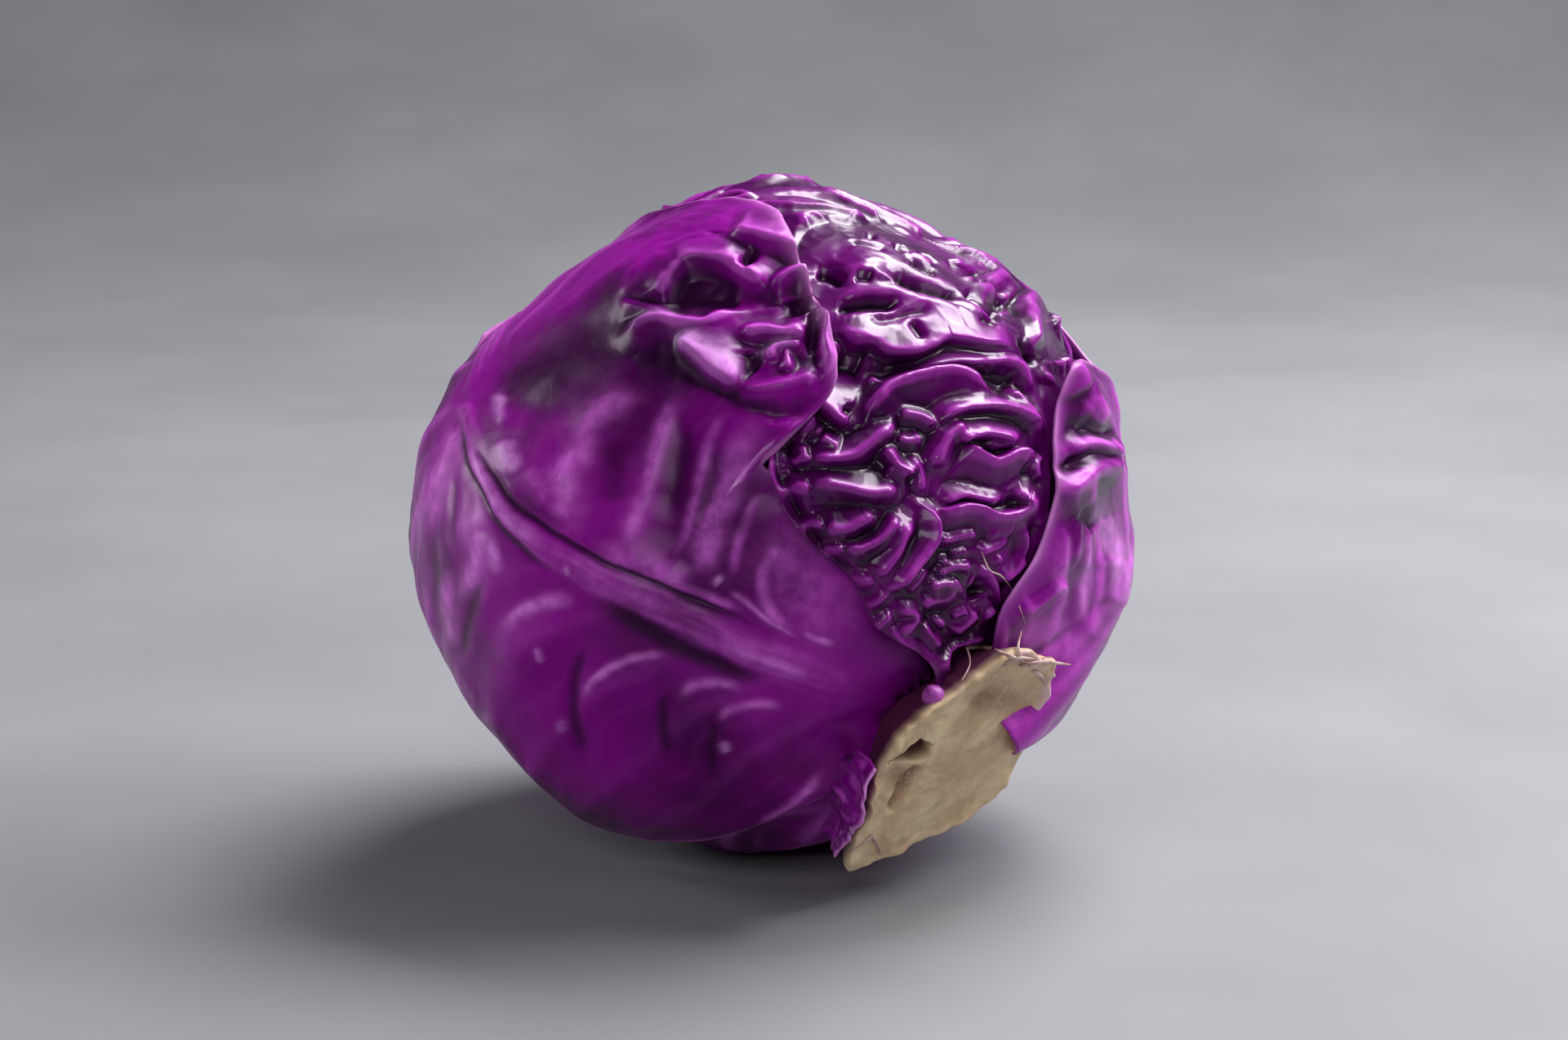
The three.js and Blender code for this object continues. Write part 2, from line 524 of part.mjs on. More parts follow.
// The stalk as a closed solid, `grow` millimetres fatter than it is where others are cut to fit it
function stalkGeometry(grow) {
  const positions = [];
  stalkRings.forEach(([depth, share], k) => {
    const down = k === 0 ? depth + grow : k === stalkRings.length - 1 ? depth - grow * 12 : depth;
    const ragged = fade(share, 0.5, 0.9);
    for (let s = 0; s < stalkSides; s++) {
      const turn = (s / stalkSides) * 2 * Math.PI;
      const rough = 1 + ragged * (raggedness(turn) - 1);
      const wave = k === stalkRings.length - 1 && !grow ? 0.5 * Math.sin(4 * turn + 1) + 0.35 * Math.sin(7 * turn) : 0;
      const reach = stumpReach(deg(turn)) * share * rough + grow;
      const p = cutMiddle
        .clone()
        .addScaledVector(longWay, reach * Math.cos(turn))
        .addScaledVector(shortWay, reach * Math.sin(turn))
        .addScaledVector(cutFace, -down - wave);
      positions.push(...p.toArray());
    }
  });
  const root = cutMiddle.clone().addScaledVector(cutFace, -stalkRings[0][0] - grow);
  const face = cutMiddle.clone().addScaledVector(cutFace, grow ? grow * 12 : 0);
  positions.push(...root.toArray(), ...face.toArray());
  const rootAt = stalkRings.length * stalkSides;
  const triangles = [];
  for (let s = 0; s < stalkSides; s++) {
    const t = (s + 1) % stalkSides;
    triangles.push(rootAt, t, s);
    const last = (stalkRings.length - 1) * stalkSides;
    triangles.push(rootAt + 1, last + s, last + t);
    for (let k = 0; k + 1 < stalkRings.length; k++) {
      const [a, b] = [k * stalkSides + s, k * stalkSides + t];
      const [c, d] = [(k + 1) * stalkSides + t, (k + 1) * stalkSides + s];
      triangles.push(a, b, c, a, c, d);
    }
  }
  return new THREE.BufferGeometry()
    .setAttribute("position", new THREE.Float32BufferAttribute(positions, 3))
    .setIndex(triangles);
}

// A thin strip of torn fibre along a curve, sunk into the stump's rim
function fibreGeometry(points, wide, thick) {
  const section = new THREE.Shape([
    new THREE.Vector2(-wide, 0),
    new THREE.Vector2(0, -thick),
    new THREE.Vector2(wide, 0),
    new THREE.Vector2(0, thick),
  ]);
  return new THREE.ExtrudeGeometry(section, {
    steps: 7,
    bevelEnabled: false,
    extrudePath: new THREE.CatmullRomCurve3(points),
  });
}
// A place by the stump: share of the way out to its rim at a turn, and height above the cut
const byStump = (turn, share, above) =>
  cutMiddle
    .clone()
    .addScaledVector(longWay, stumpReach(turn) * share * Math.cos(rad(turn)))
    .addScaledVector(shortWay, stumpReach(turn) * share * Math.sin(rad(turn)))
    .addScaledVector(cutFace, above);
const fibres = [
  [[10, 0.86, -1.5], [25, 0.98, 1.2], [42, 1.06, 2.2], [58, 1.14, 2]],
  [[12, 0.84, -1.6], [2, 1.0, 0.6], [-6, 1.1, 1.2], [-12, 1.2, 0.6]],
  [[14, 0.85, -1.6], [16, 1.0, 0.8], [20, 1.1, 0.6], [26, 1.2, -0.6]],
  [[172, 0.86, -1.8], [168, 0.98, 0.2], [162, 1.1, 0.8], [158, 1.2, 0]],
];

let stalkFit = toSolid(stalkGeometry(0.35));
let stalkSolid = toSolid(stalkGeometry(0));
for (const line of fibres) {
  const curve = line.map((p) => byStump(...p));
  stalkSolid = stalkSolid.add(toSolid(fibreGeometry(curve, 0.8, 0.5)));
  stalkFit = stalkFit.add(toSolid(fibreGeometry(curve, 1.5, 1.1)));
}

// The inner head, a ball of closely packed leaves, with the hole that the stalk's root fills
function innerHeadGeometry() {
  const ball = new THREE.IcosahedronGeometry(1, 8);
  const places = ball.attributes.position;
  for (let k = 0; k < places.count; k++) {
    const dir = vec(places.getX(k), places.getY(k), places.getZ(k)).normalize();
    const p = dir.multiplyScalar(innerFace(dir) - 0.3).add(middle);
    places.setXYZ(k, p.x, p.y, p.z);
  }
  return ball;
}
const innerHead = toSolid(innerHeadGeometry()).subtract(stalkFit);

// The torn stub of a picked leaf, left of the stump: a small thick scale standing on its edge
function scrapGeometry() {
  const rows = 7;
  const columns = 4;
  const positions = [];
  for (const face of [0, 1]) {
    for (let j = 0; j <= rows; j++) {
      for (let i = 0; i <= columns; i++) {
        const along = j / rows;
        const wide = i / columns;
        const turn = 118 + 44 * along;
        const out = 1.12 + 0.1 * Math.sin(Math.PI * along) + 0.08 * wide;
        const tall = (5.2 + 1.2 * Math.sin(9 * along)) * (0.45 + 0.55 * Math.sin(Math.PI * (0.15 + 0.75 * along)));
        const thick = 1.5 - 0.7 * wide;
        positions.push(...byStump(turn, out + (face ? 0 : thick / 20), -5.5 + wide * (tall + 2.5)).toArray());
      }
    }
  }
  const across = columns + 1;
  const count = (rows + 1) * across;
  const triangles = [];
  for (let j = 0; j < rows; j++) {
    for (let i = 0; i < columns; i++) {
      const [a, b, c, d] = [j * across + i, j * across + i + 1, (j + 1) * across + i + 1, (j + 1) * across + i];
      triangles.push(a, c, b, a, d, c, count + a, count + b, count + c, count + a, count + c, count + d);
    }
  }
  const rim = [];
  for (let i = 0; i < columns; i++) rim.push(i);
  for (let j = 0; j < rows; j++) rim.push(j * across + columns);
  for (let i = columns; i > 0; i--) rim.push(rows * across + i);
  for (let j = rows; j > 0; j--) rim.push(j * across);
  rim.forEach((a, k) => {
    const b = rim[(k + 1) % rim.length];
    triangles.push(a, b, count + b, a, count + b, count + a);
  });
  return new THREE.BufferGeometry()
    .setAttribute("position", new THREE.Float32BufferAttribute(positions, 3))
    .setIndex(triangles);
}
const scrap = scrapGeometry();

// Laying the leaves. The front leaf goes down twice: first its lower part, which the crinkled leaf
// covers, and then its crumpled lobe over the crinkled leaf. A notch in its margin lets that leaf
// pass from above it to below it.
const lobeRow = leafFront.stops.indexOf(63);
layLeaf(leafBack, []);
layLeaf(leafBottom, [leafBack]);
layLeaf(leafLeft, [leafBack, leafBottom]);
layLeaf(leafFront, [leafBack, leafBottom, leafLeft]);
leafFront.lastRow = lobeRow - 1;
layLeaf(leafCrinkled, [leafBack, leafBottom, leafLeft, leafFront]);
leafFront.lastRow = undefined;
layLeaf(leafFront, [leafBack, leafBottom, leafLeft, leafCrinkled], lobeRow);
layLeaf(leafRight, [leafBack, leafBottom, leafLeft, leafFront, leafCrinkled]);

// Finishes
const finish = (color, roughness) => new THREE.MeshStandardMaterial({ color, roughness, metalness: 0 });
const purpleBlade = finish(0x5c0a60, 0.38);
const crinkledBlade = finish(0x4a0a50, 0.34);
const paleHeart = finish(0x6a2a70, 0.5);
const cutPith = finish(0xa3886c, 0.78);

const cabbage = new THREE.Group();
function addPiece(name, geometry, material) {
  const mesh = new THREE.Mesh(geometry, material);
  mesh.name = name;
  cabbage.add(mesh);
}
addPiece("stalk", toGeometry(stalkSolid), cutPith);
addPiece("inner_head", toGeometry(largest(innerHead)), paleHeart);
for (const leaf of leafOrder) {
  const trimmed = largest(toSolid(bladeGeometry(leaf)).subtract(stalkFit));
  addPiece(leaf.name, toGeometry(trimmed), leaf === leafCrinkled ? crinkledBlade : purpleBlade);
}
const scrapTrimmed = [leafFront, leafLeft, leafBottom]
  .map((leaf) => toSolid(bladeGeometry(leaf)))
  .reduce((left, leaf) => left.subtract(leaf), toSolid(scrap).subtract(stalkFit));
addPiece("leaf_base_scrap", toGeometry(largest(scrapTrimmed)), purpleBlade);

export default cabbage;
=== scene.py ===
import math
import bpy
import numpy as np
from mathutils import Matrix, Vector
from mathutils.bvhtree import BVHTree


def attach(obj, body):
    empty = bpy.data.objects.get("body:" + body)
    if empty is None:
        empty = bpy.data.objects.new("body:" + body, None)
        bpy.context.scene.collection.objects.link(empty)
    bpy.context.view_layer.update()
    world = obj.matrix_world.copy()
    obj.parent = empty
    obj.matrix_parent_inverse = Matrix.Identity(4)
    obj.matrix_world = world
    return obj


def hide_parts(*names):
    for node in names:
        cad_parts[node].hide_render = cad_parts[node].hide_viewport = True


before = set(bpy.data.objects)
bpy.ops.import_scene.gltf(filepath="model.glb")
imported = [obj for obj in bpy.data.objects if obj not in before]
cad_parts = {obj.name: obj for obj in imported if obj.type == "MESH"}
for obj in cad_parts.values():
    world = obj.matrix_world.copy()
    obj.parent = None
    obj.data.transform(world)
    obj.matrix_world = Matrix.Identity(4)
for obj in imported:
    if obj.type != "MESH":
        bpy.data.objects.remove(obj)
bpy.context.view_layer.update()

metre = 0.001
restHeight = 64.5
headMiddle = np.array([0.0, 0.0, restHeight])
viewDistance = 720.0
viewAngle = 12.0
viewRadius = 67.0
bladeGap = 0.35
degreeLength = 1.17  # of surface
veinSpacing = 14
random = np.random.default_rng(12)


def unit(v):
    return v / np.maximum(np.linalg.norm(v, axis=-1, keepdims=True), 1e-9)


def fade(x, low, high):
    t = np.clip((x - low) / (high - low), 0, 1)
    return t * t * (3 - 2 * t)


# The front view's own axes, and places on it in millimetres right of and above the head's middle
tilt = math.radians(viewAngle)
rightWay = np.array([1.0, 0.0, 0.0])
upWay = np.array([0.0, math.sin(tilt), math.cos(tilt)])
nearWay = np.array([0.0, -math.cos(tilt), math.sin(tilt)])


def mix(a, b, c):
    return unit(a * rightWay + b * upWay + c * nearWay)


def seenAt(a, b):
    d = viewDistance
    spread = a * a + b * b + d * d
    t = (d * d - math.sqrt(max(0, d ** 4 - spread * (d * d - viewRadius ** 2)))) / spread
    return mix(t * a, t * b, d - t * d)


def placeSeen(dirs):
    toward = dirs @ nearWay * viewRadius
    scale = viewRadius * viewDistance / (viewDistance - toward)
    return dirs @ rightWay * scale, dirs @ upWay * scale, toward > 0


# A value read off a short table of (place, value) rows, eased between the rows
def reading(table, x):
    places = np.array([row[0] for row in table], float)
    values = np.array([row[1] for row in table], float)
    x = np.clip(x, places[0], places[-1])
    k = np.clip(np.searchsorted(places, x, side="left") - 1, 0, len(places) - 2)
    before = np.maximum(k - 1, 0)
    after = np.minimum(k + 2, len(places) - 1)
    width = places[k + 1] - places[k]
    t = (x - places[k]) / width
    m0 = (values[k + 1] - values[before]) / (places[k + 1] - places[before]) * width
    m1 = (values[after] - values[k]) / (places[after] - places[k]) * width
    t2 = t * t
    t3 = t2 * t
    first = (2 * t3 - 3 * t2 + 1) * values[k] + (t3 - 2 * t2 + t) * m0
    return first + (3 * t2 - 2 * t3) * values[k + 1] + (t3 - t2) * m1


# Smooth seeded noise, about -1 to 1
shuffle = random.permutation(256)
slopes = unit(random.normal(size=(256, 3)))


def noise(p, size, shift=0.0):
    q = p / size + shift
    cell = np.floor(q).astype(int)
    f = q - cell
    w = f * f * f * (f * (f * 6 - 15) + 10)
    total = 0.0
    for i in (0, 1):
        for j in (0, 1):
            for k in (0, 1):
                mixed = shuffle[(cell[..., 0] + i) & 255]
                mixed = shuffle[(mixed + cell[..., 1] + j) & 255]
                mixed = shuffle[(mixed + cell[..., 2] + k) & 255]
                corner = np.array([i, j, k])
                slope = np.sum(slopes[mixed] * (f - corner), axis=-1)
                share = np.prod(np.where(corner, w, 1 - w), axis=-1)
                total = total + share * slope
    return total * 1.6


# A grid blurred by so many rows and columns, and a coarse grid read finely as one smooth surface
def blur(grid, rows, columns):
    for axis, sigma in ((0, rows), (1, columns)):
        if sigma < 0.05:
            continue
        reach = max(1, int(3 * sigma + 0.5))
        weights = np.exp(-0.5 * (np.arange(-reach, reach + 1) / sigma) ** 2)
        weights /= weights.sum()
        padding = [(0, 0), (0, 0)]
        padding[axis] = (reach, reach)
        padded = np.pad(grid, padding, mode="reflect", reflect_type="odd")
        size = grid.shape[axis]
        grid = sum(w * np.take(padded, range(k, k + size), axis=axis) for k, w in enumerate(weights))
    return grid


def splineWeights(coarse, fine):
    at = np.linspace(0, coarse - 1, fine)
    k = np.minimum(at.astype(int), coarse - 2)
    t = at - k
    parts = [
        (1 - t) ** 3 / 6,
        (3 * t ** 3 - 6 * t ** 2 + 4) / 6,
        (-3 * t ** 3 + 3 * t ** 2 + 3 * t + 1) / 6,
        t ** 3 / 6,
    ]
    weights = np.zeros((fine, coarse + 2))
    for n, part in enumerate(parts):
        weights[np.arange(fine), k + n] += part
    return weights


def refine(grid, rows, columns):
    padded = np.pad(grid, 1, mode="reflect", reflect_type="odd")
    return splineWeights(grid.shape[0], rows) @ padded @ splineWeights(grid.shape[1], columns).T


# The stalk points at the lower right of the front, and leaves are placed by turns about it.
stem = seenAt(34.5, -48.2)
frontRun = seenAt(-36.5, -7.5)
frontRun = unit(frontRun - stem * (frontRun @ stem))
frontSide = np.cross(stem, frontRun)
cutFace = mix(0.59, -0.59, 0.55)


def aboutStem(turn, out):
    turn, out = math.radians(turn), math.radians(out)
    return stem * math.cos(out) + math.sin(out) * (frontRun * math.cos(turn) + frontSide * math.sin(turn))


# Degrees from the stalk where the front leaf's lobe starts, and where it hangs down in full
lobeStart = 61.5
lobeFull = 63


def hang(leaf, along, u):
    if "hang" not in leaf:
        return 0.0
    share = fade(along, lobeStart, lobeFull) * (1 - fade(along, 66, 84))
    return leaf["hang"] * share * (1 - fade(u, -1, -0.6))


# Along and across for a share v of the length and a share u of the half width
def leafPlace(leaf, u, v):
    along = leaf["start"] + (leaf["end"] - leaf["start"]) * v
    rib = reading(leaf["midrib"], along)
    margin = np.where(u < 0, reading(leaf["low"], along), reading(leaf["high"], along))
    return along - leaf["round"] * v ** 4 * u * u - hang(leaf, along, u), rib + np.abs(u) * (margin - rib)


def leafDirection(leaf, along, across):
    run = aboutStem(leaf["turn"], 90)
    side = np.cross(stem, run)
    a, b = np.radians(along)[..., None], np.radians(across)[..., None]
    return np.cos(b) * (np.cos(a) * stem + np.sin(a) * run) + np.sin(b) * side


# Distance from the middle to the first surface met from outside, in each direction; nan beside it
def surfaceTree(vertices, faces):
    return BVHTree.FromPolygons([tuple(p) for p in vertices.tolist()], faces)


outside = 110


def radiiOf(tree, dirs):
    out = np.full(dirs.shape[:-1], np.nan)
    flat = out.reshape(-1)
    origin = Vector(headMiddle)
    for n, d in enumerate(dirs.reshape(-1, 3).tolist()):
        way = Vector(d)
        hit = tree.ray_cast(origin + way * outside, -way, outside)
        if hit[0] is not None:
            flat[n] = outside - hit[3]
    return out


def fillGaps(grid):
    grid = grid.copy()
    for _ in range(400):
        missing = np.isnan(grid)
        if not missing.any():
            break
        padded = np.pad(grid, 1, constant_values=np.nan)
        around = np.stack([padded[:-2, 1:-1], padded[2:, 1:-1], padded[1:-1, :-2], padded[1:-1, 2:]])
        known = ~np.isnan(around)
        count = known.sum(axis=0)
        mean = np.where(known, around, 0).sum(axis=0) / np.maximum(count, 1)
        grid = np.where(missing & (count > 0), mean, grid)
    return grid


cadTrees = {}
for nodeName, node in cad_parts.items():
    points = np.array([v.co[:] for v in node.data.vertices]) / metre
    cadTrees[nodeName] = surfaceTree(points, [tuple(p.vertices) for p in node.data.polygons])
print("frame read:", len(cadTrees), "nodes")


# Folds are drawn on the front view as [height, left width, right width, shift, places]. A crest leans
# by its shift to the left of the way that it is drawn, or to the right below zero. Negative heights sink.
crestRound = 0.4
foldReach = 2.3


def curveThrough(points, step=1.0):
    p = np.array(points, float)
    padded = np.vstack([2 * p[0] - p[1], p, 2 * p[-1] - p[-2]])
    out = []
    for k in range(len(p) - 1):
        a, b, c, d = padded[k:k + 4]
        parts = max(2, int(np.linalg.norm(c - b) / step))
        t = np.arange(parts)[:, None] / parts
        curve = 2 * b + (c - a) * t + (2 * a - 5 * b + 4 * c - d) * t ** 2
        out.append(0.5 * (curve + (3 * b - a - 3 * c + d) * t ** 3))
    return np.vstack(out + [p[-1:]])


# Distance to a curve, above zero on its left, the share of its length, and the way to its left
def lineField(points, a, b, reach):
    line = curveThrough(points)
    away = np.full(a.shape, reach * 1.01)
    share = np.zeros(a.shape)
    left = np.zeros(a.shape + (2,))
    low, high = line.min(axis=0) - reach, line.max(axis=0) + reach
    near = (a > low[0]) & (a < high[0]) & (b > low[1]) & (b < high[1])
    x, y = a[near], b[near]
    best, at, side, way = away[near], share[near], np.ones(x.shape), left[near]
    for k in range(len(line) - 1):
        dx, dy = line[k + 1] - line[k]
        size = math.hypot(dx, dy) + 1e-9
        t = np.clip(((x - line[k][0]) * dx + (y - line[k][1]) * dy) / size ** 2, 0, 1)
        px, py = x - line[k][0] - t * dx, y - line[k][1] - t * dy
        distance = np.hypot(px, py)
        closer = distance < best
        best = np.where(closer, distance, best)
        at = np.where(closer, (k + t) / (len(line) - 1), at)
        side = np.where(closer, np.where(dx * py - dy * px > 0, 1, -1), side)
        way = np.where(closer[:, None], np.array([-dy, dx]) / size, way)
    away[near], share[near], left[near] = best * side, at, way
    return away, share, left


def foldField(folds, a, b, sharp=4.0):
    crest = np.zeros(a.shape)
    pit = np.zeros(a.shape)
    lean = np.zeros(a.shape + (2,))
    for height, leftWidth, rightWidth, shift, points in folds:
        away, share, left = lineField(points, a, b, max(leftWidth, rightWidth) * foldReach)
        width = np.where(away > 0, leftWidth, rightWidth) * foldReach
        ends = 0.3 + 0.7 * fade(share, -0.02, 0.2) * (1 - fade(share, 0.8, 1.02))
        profile = ends * np.maximum(0, 1 - (np.hypot(away, crestRound) - crestRound) / width) ** 1.55
        if height > 0:
            weight = (height * profile) ** sharp
            crest += weight
            lean += (weight * profile * shift)[..., None] * left
        else:
            pit = np.maximum(pit, -height * np.sqrt(profile) * profile)
    return crest ** (1 / sharp) - pit, lean / (crest[..., None] + 1e-6)


# A lean on the front view as a move of each place of a leaf, along the leaf
def leanMove(lean, dirs, share):
    move = (lean[..., :1] * rightWay + lean[..., 1:] * upWay) * share[..., None]
    return move - dirs * np.sum(move * dirs, axis=-1, keepdims=True)


# Mesh making
def makeMesh(name, vertices, faces, marks, piece, material):
    counts = np.array([len(f) for f in faces])
    mesh = bpy.data.meshes.new(name)
    mesh.vertices.add(len(vertices))
    mesh.vertices.foreach_set("co", (np.asarray(vertices) * metre).astype(np.float32).ravel())
    mesh.loops.add(int(counts.sum()))
    mesh.loops.foreach_set("vertex_index", np.concatenate([np.asarray(f, np.int32) for f in faces]))
    mesh.polygons.add(len(faces))
    starts = np.concatenate([[0], np.cumsum(counts)[:-1]]).astype(np.int32)
    mesh.polygons.foreach_set("loop_start", starts)
    mesh.polygons.foreach_set("use_smooth", np.full(len(faces), True))
    mesh.update(calc_edges=True)
    mesh.validate()
    for mark, values in marks.items():
        layer = mesh.attributes.new(mark, "FLOAT", "POINT")
        layer.data.foreach_set("value", np.asarray(values, np.float32).ravel())
    obj = bpy.data.objects.new(name, mesh)
    bpy.context.scene.collection.objects.link(obj)
    mesh.materials.append(material)
    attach(obj, "root")
    for node in piece["nodes"]:
        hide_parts(node)


# The crest mark carries painted highlight and painted shade, the bloom mark painted highlights, and the vein
# mark pale veins together with painted highlights.
markNames = ("Rib", "Vein", "Edge", "Crest", "PaintedHighlight")


# The marks that a leaf material reads, empty where none are given
def marksOf(shape, **given):
    return {m: given.get(m, np.zeros(shape)) for m in markNames}


def quads(index):
    corners = [index[:-1, :-1], index[1:, :-1], index[1:, 1:], index[:-1, 1:]]
    return np.stack(corners, -1).reshape(-1, 4).tolist()


def ringQuads(index):
    after = np.roll(index, -1, axis=1)
    corners = [index[:-1], index[1:], after[1:], after[:-1]]
    return [tuple(f) for f in np.stack(corners, -1).reshape(-1, 4).tolist()]


coarseStep = 4


# A closed blade: a fine outer face, a plainer inner face below its lowest places, and a rim
def bladeFaces(rows, columns):
    wide = columns + 1
    index = np.arange((rows + 1) * wide).reshape(rows + 1, wide)
    innerRows, innerColumns = rows // coarseStep, columns // coarseStep
    innerSize = (innerRows + 1) * (innerColumns + 1)
    inside = index.size + np.arange(innerSize).reshape(innerRows + 1, innerColumns + 1)
    corners = [inside[:-1, :-1], inside[:-1, 1:], inside[1:, 1:], inside[1:, :-1]]
    inner = np.stack(corners, -1).reshape(-1, 4)
    edges = [
        (index[0, ::-1], inside[0, ::-1]),
        (index[:, 0], inside[:, 0]),
        (index[-1, :], inside[-1, :]),
        (index[::-1, -1], inside[::-1, -1]),
    ]
    rim = []
    for fine, coarse in edges:
        for k in range(len(coarse) - 1):
            first = coarse[k]
            second = coarse[k + 1]
            for n in range(coarseStep):
                a, b = fine[k * coarseStep + n], fine[k * coarseStep + n + 1]
                rim.append((b, a, first if n < coarseStep // 2 else second))
            rim.append((fine[k * coarseStep + coarseStep // 2], first, second))
    return [tuple(f) for f in quads(index)] + [tuple(f) for f in inner.tolist()] + rim


def lowestAround(grid, reach):
    padded = np.pad(grid, reach, mode="edge")
    rows, columns = grid.shape
    out = grid
    for i in range(0, 2 * reach + 1, 2):
        for j in range(0, 2 * reach + 1, 2):
            out = np.minimum(out, padded[i:i + rows, j:j + columns])
    return out


# Marks of the outer face, followed by those of the coarse inner face
def bothSides(marks):
    return {k: np.concatenate([m.ravel(), m[::coarseStep, ::coarseStep].ravel()]) for k, m in marks.items()}


# Places of a leaf's outer face, leaned where its folds lean
def leafShell(dirs, outer, lean=None):
    shell = headMiddle + dirs * outer[..., None]
    return shell if lean is None else shell + lean


def bladeObject(leaf, dirs, outer, thick, marks, lean=None):
    rows, columns = outer.shape[0] - 1, outer.shape[1] - 1
    shell = leafShell(dirs, outer, lean)
    lowest = lowestAround(outer, coarseStep) - thick
    lowest[[0, -1], :] = outer[[0, -1], :] - thick[[0, -1], :]
    lowest[:, [0, -1]] = outer[:, [0, -1]] - thick[:, [0, -1]]
    lining = (headMiddle + dirs * lowest[..., None])[::coarseStep, ::coarseStep]
    shell[..., 2] = np.maximum(shell[..., 2], 0.0)
    lining[..., 2] = np.maximum(lining[..., 2], 0.02)
    vertices = np.vstack([shell.reshape(-1, 3), lining.reshape(-1, 3)])
    faces = bladeFaces(rows, columns)
    makeMesh(leaf["name"] + "_blade", vertices, faces, bothSides(marks), leaf, materials[leaf["skin"]])


def gridTree(dirs, outer, lean=None, rows=None, step=2):
    points = leafShell(dirs, outer, lean)[0:rows:step, ::step]
    wide = points.shape[1]
    return surfaceTree(points.reshape(-1, 3), quads(np.arange(points.shape[0] * wide).reshape(-1, wide)))


# How much a place stands out from its surroundings: 0.5 is level, above is a crest, below is a hollow. The
# leaf skin paints crests paler, a painted highlight, and hollows near black, painted shade.
def shadeAndHighlightMark(outer, share=1.0):
    out = outer - blur(outer, 4, 4)
    return 0.5 + share * np.clip(np.where(out > 0, out / 1.3, out / 2.2), -0.5, 0.5)


# Height of what lies under a leaf in each direction, read on every second row and column
def clearance(trees, dirs):
    rows, columns = dirs.shape[0], dirs.shape[1]
    some = dirs[::2, ::2]
    most = np.full(some.shape[:-1], 0.0)
    for tree in trees:
        here = radiiOf(tree, some)
        most = np.maximum(most, np.nan_to_num(here, nan=0.0))
    padded = np.pad(most, 1, mode="edge")
    for i in range(3):
        for j in range(3):
            most = np.maximum(most, padded[i:i + most.shape[0], j:j + most.shape[1]])
    out = np.repeat(np.repeat(most, 2, axis=0), 2, axis=1)[:rows, :columns]
    return out


def softMax(a, b, width=0.5):
    top = np.maximum(a, b)
    near = np.exp(-np.abs(a - b) / width)
    return top + width * np.log1p(near) * np.exp(-np.abs(a - b) / width)


# Shares of the length and half width, with the columns closer together on the `finer` half
def leafShares(leaf, rows, columns, inset=0.0):
    lengthShares = np.linspace(inset, 1 - inset, rows)
    widthShares = np.linspace(inset - 1, 1 - inset, columns)
    v, t = np.meshgrid(lengthShares, widthShares, indexing="ij")
    return v, t + leaf.get("finer", 0) * (1 - t * t)


# The leaf's fine grid, with everything that the relief and the marks are made from
def leafGrid(leaf):
    v, u = leafShares(leaf, leaf["rows"] + 1, leaf["columns"] + 1)
    along, across = leafPlace(leaf, u, v)
    g = {"u": u, "v": v, "along": along, "across": across}
    g["nominal"] = leaf["start"] + (leaf["end"] - leaf["start"]) * v
    g["fromRib"] = across - reading(leaf["midrib"], g["nominal"])
    g["dirs"] = leafDirection(leaf, along, across)
    g["p"] = g["dirs"] * viewRadius
    a, b, front = placeSeen(g["dirs"])
    g["a"], g["b"], g["front"] = a, b, front
    side = np.where(u < 0, reading(leaf["low"], g["nominal"]), reading(leaf["high"], g["nominal"]))
    g["toMargin"] = np.abs(side - reading(leaf["midrib"], g["nominal"])) * (1 - np.abs(u)) * degreeLength
    g["toTip"] = (1 - v) * (leaf["end"] - leaf["start"]) * degreeLength
    return g


def cadBase(leaf, g, softness):
    rows, columns = leaf["readRows"], leaf["readColumns"]
    v, u = leafShares(leaf, rows, columns, 0.004)
    dirs = leafDirection(leaf, *leafPlace(leaf, u, v))
    grid = fillGaps(radiiOf(cadTrees[leaf["name"]], dirs))
    grid = blur(grid, softness[0] * rows, softness[1] * columns)
    return refine(grid, leaf["rows"] + 1, leaf["columns"] + 1)


def unevenness(leaf, g):
    return 0.3 * noise(g["p"], 17, leaf["seed"] + 7) + 0.13 * noise(g["p"], 6, leaf["seed"] + 9)


# Midrib lines and side veins of a smooth leaf: relief in millimetres and marks for the colour
def veining(leaf, g):
    fromRib, v, u = g["fromRib"], g["v"], g["u"]
    ribWide = 5.6 * (1 - v) + 1.6
    t = fromRib / ribWide + 0.06 * noise(g["p"], 14, leaf["seed"])
    rib = np.exp(-(t / 1.15) ** 4)
    lines = np.cos(t * 8.5 + 0.8 * noise(g["p"], 30, leaf["seed"])) * rib
    shift = veinSpacing / 2 * (fromRib <= 0)
    bend = 1.5 * noise(g["p"], 22, leaf["seed"] + 3)
    swept = g["along"] - 20 * (1 - np.exp(-np.abs(fromRib) / 12)) + shift + bend
    wave = 0.5 + 0.5 * np.cos(2 * np.pi * swept / veinSpacing)
    reachOut = fade(np.abs(fromRib), 2, 8) * (1 - fade(np.abs(u), 0.72, 1.0))
    vein = wave ** 7 * reachOut
    forked = swept * 2 + 9 * noise(g["p"], 16, leaf["seed"] + 5)
    forkWave = 0.5 + 0.5 * np.cos(2 * np.pi * forked / veinSpacing)
    fine = forkWave ** 9 * fade(np.abs(fromRib), 8, 18) * (1 - fade(np.abs(u), 0.8, 1))
    groove = np.exp(-((np.abs(t) - 1.22) / 0.2) ** 2)
    groove = groove * (0.6 + 0.8 * noise(g["p"], 12, leaf["seed"] + 13))
    relief = 0.1 * lines + 0.3 * rib - 0.35 * groove + 0.3 * vein + 0.12 * fine + unevenness(leaf, g)
    return relief, 0.8 * rib * (0.7 + 0.3 * lines), 0.7 * np.clip(vein + 0.5 * fine, 0, 1), groove


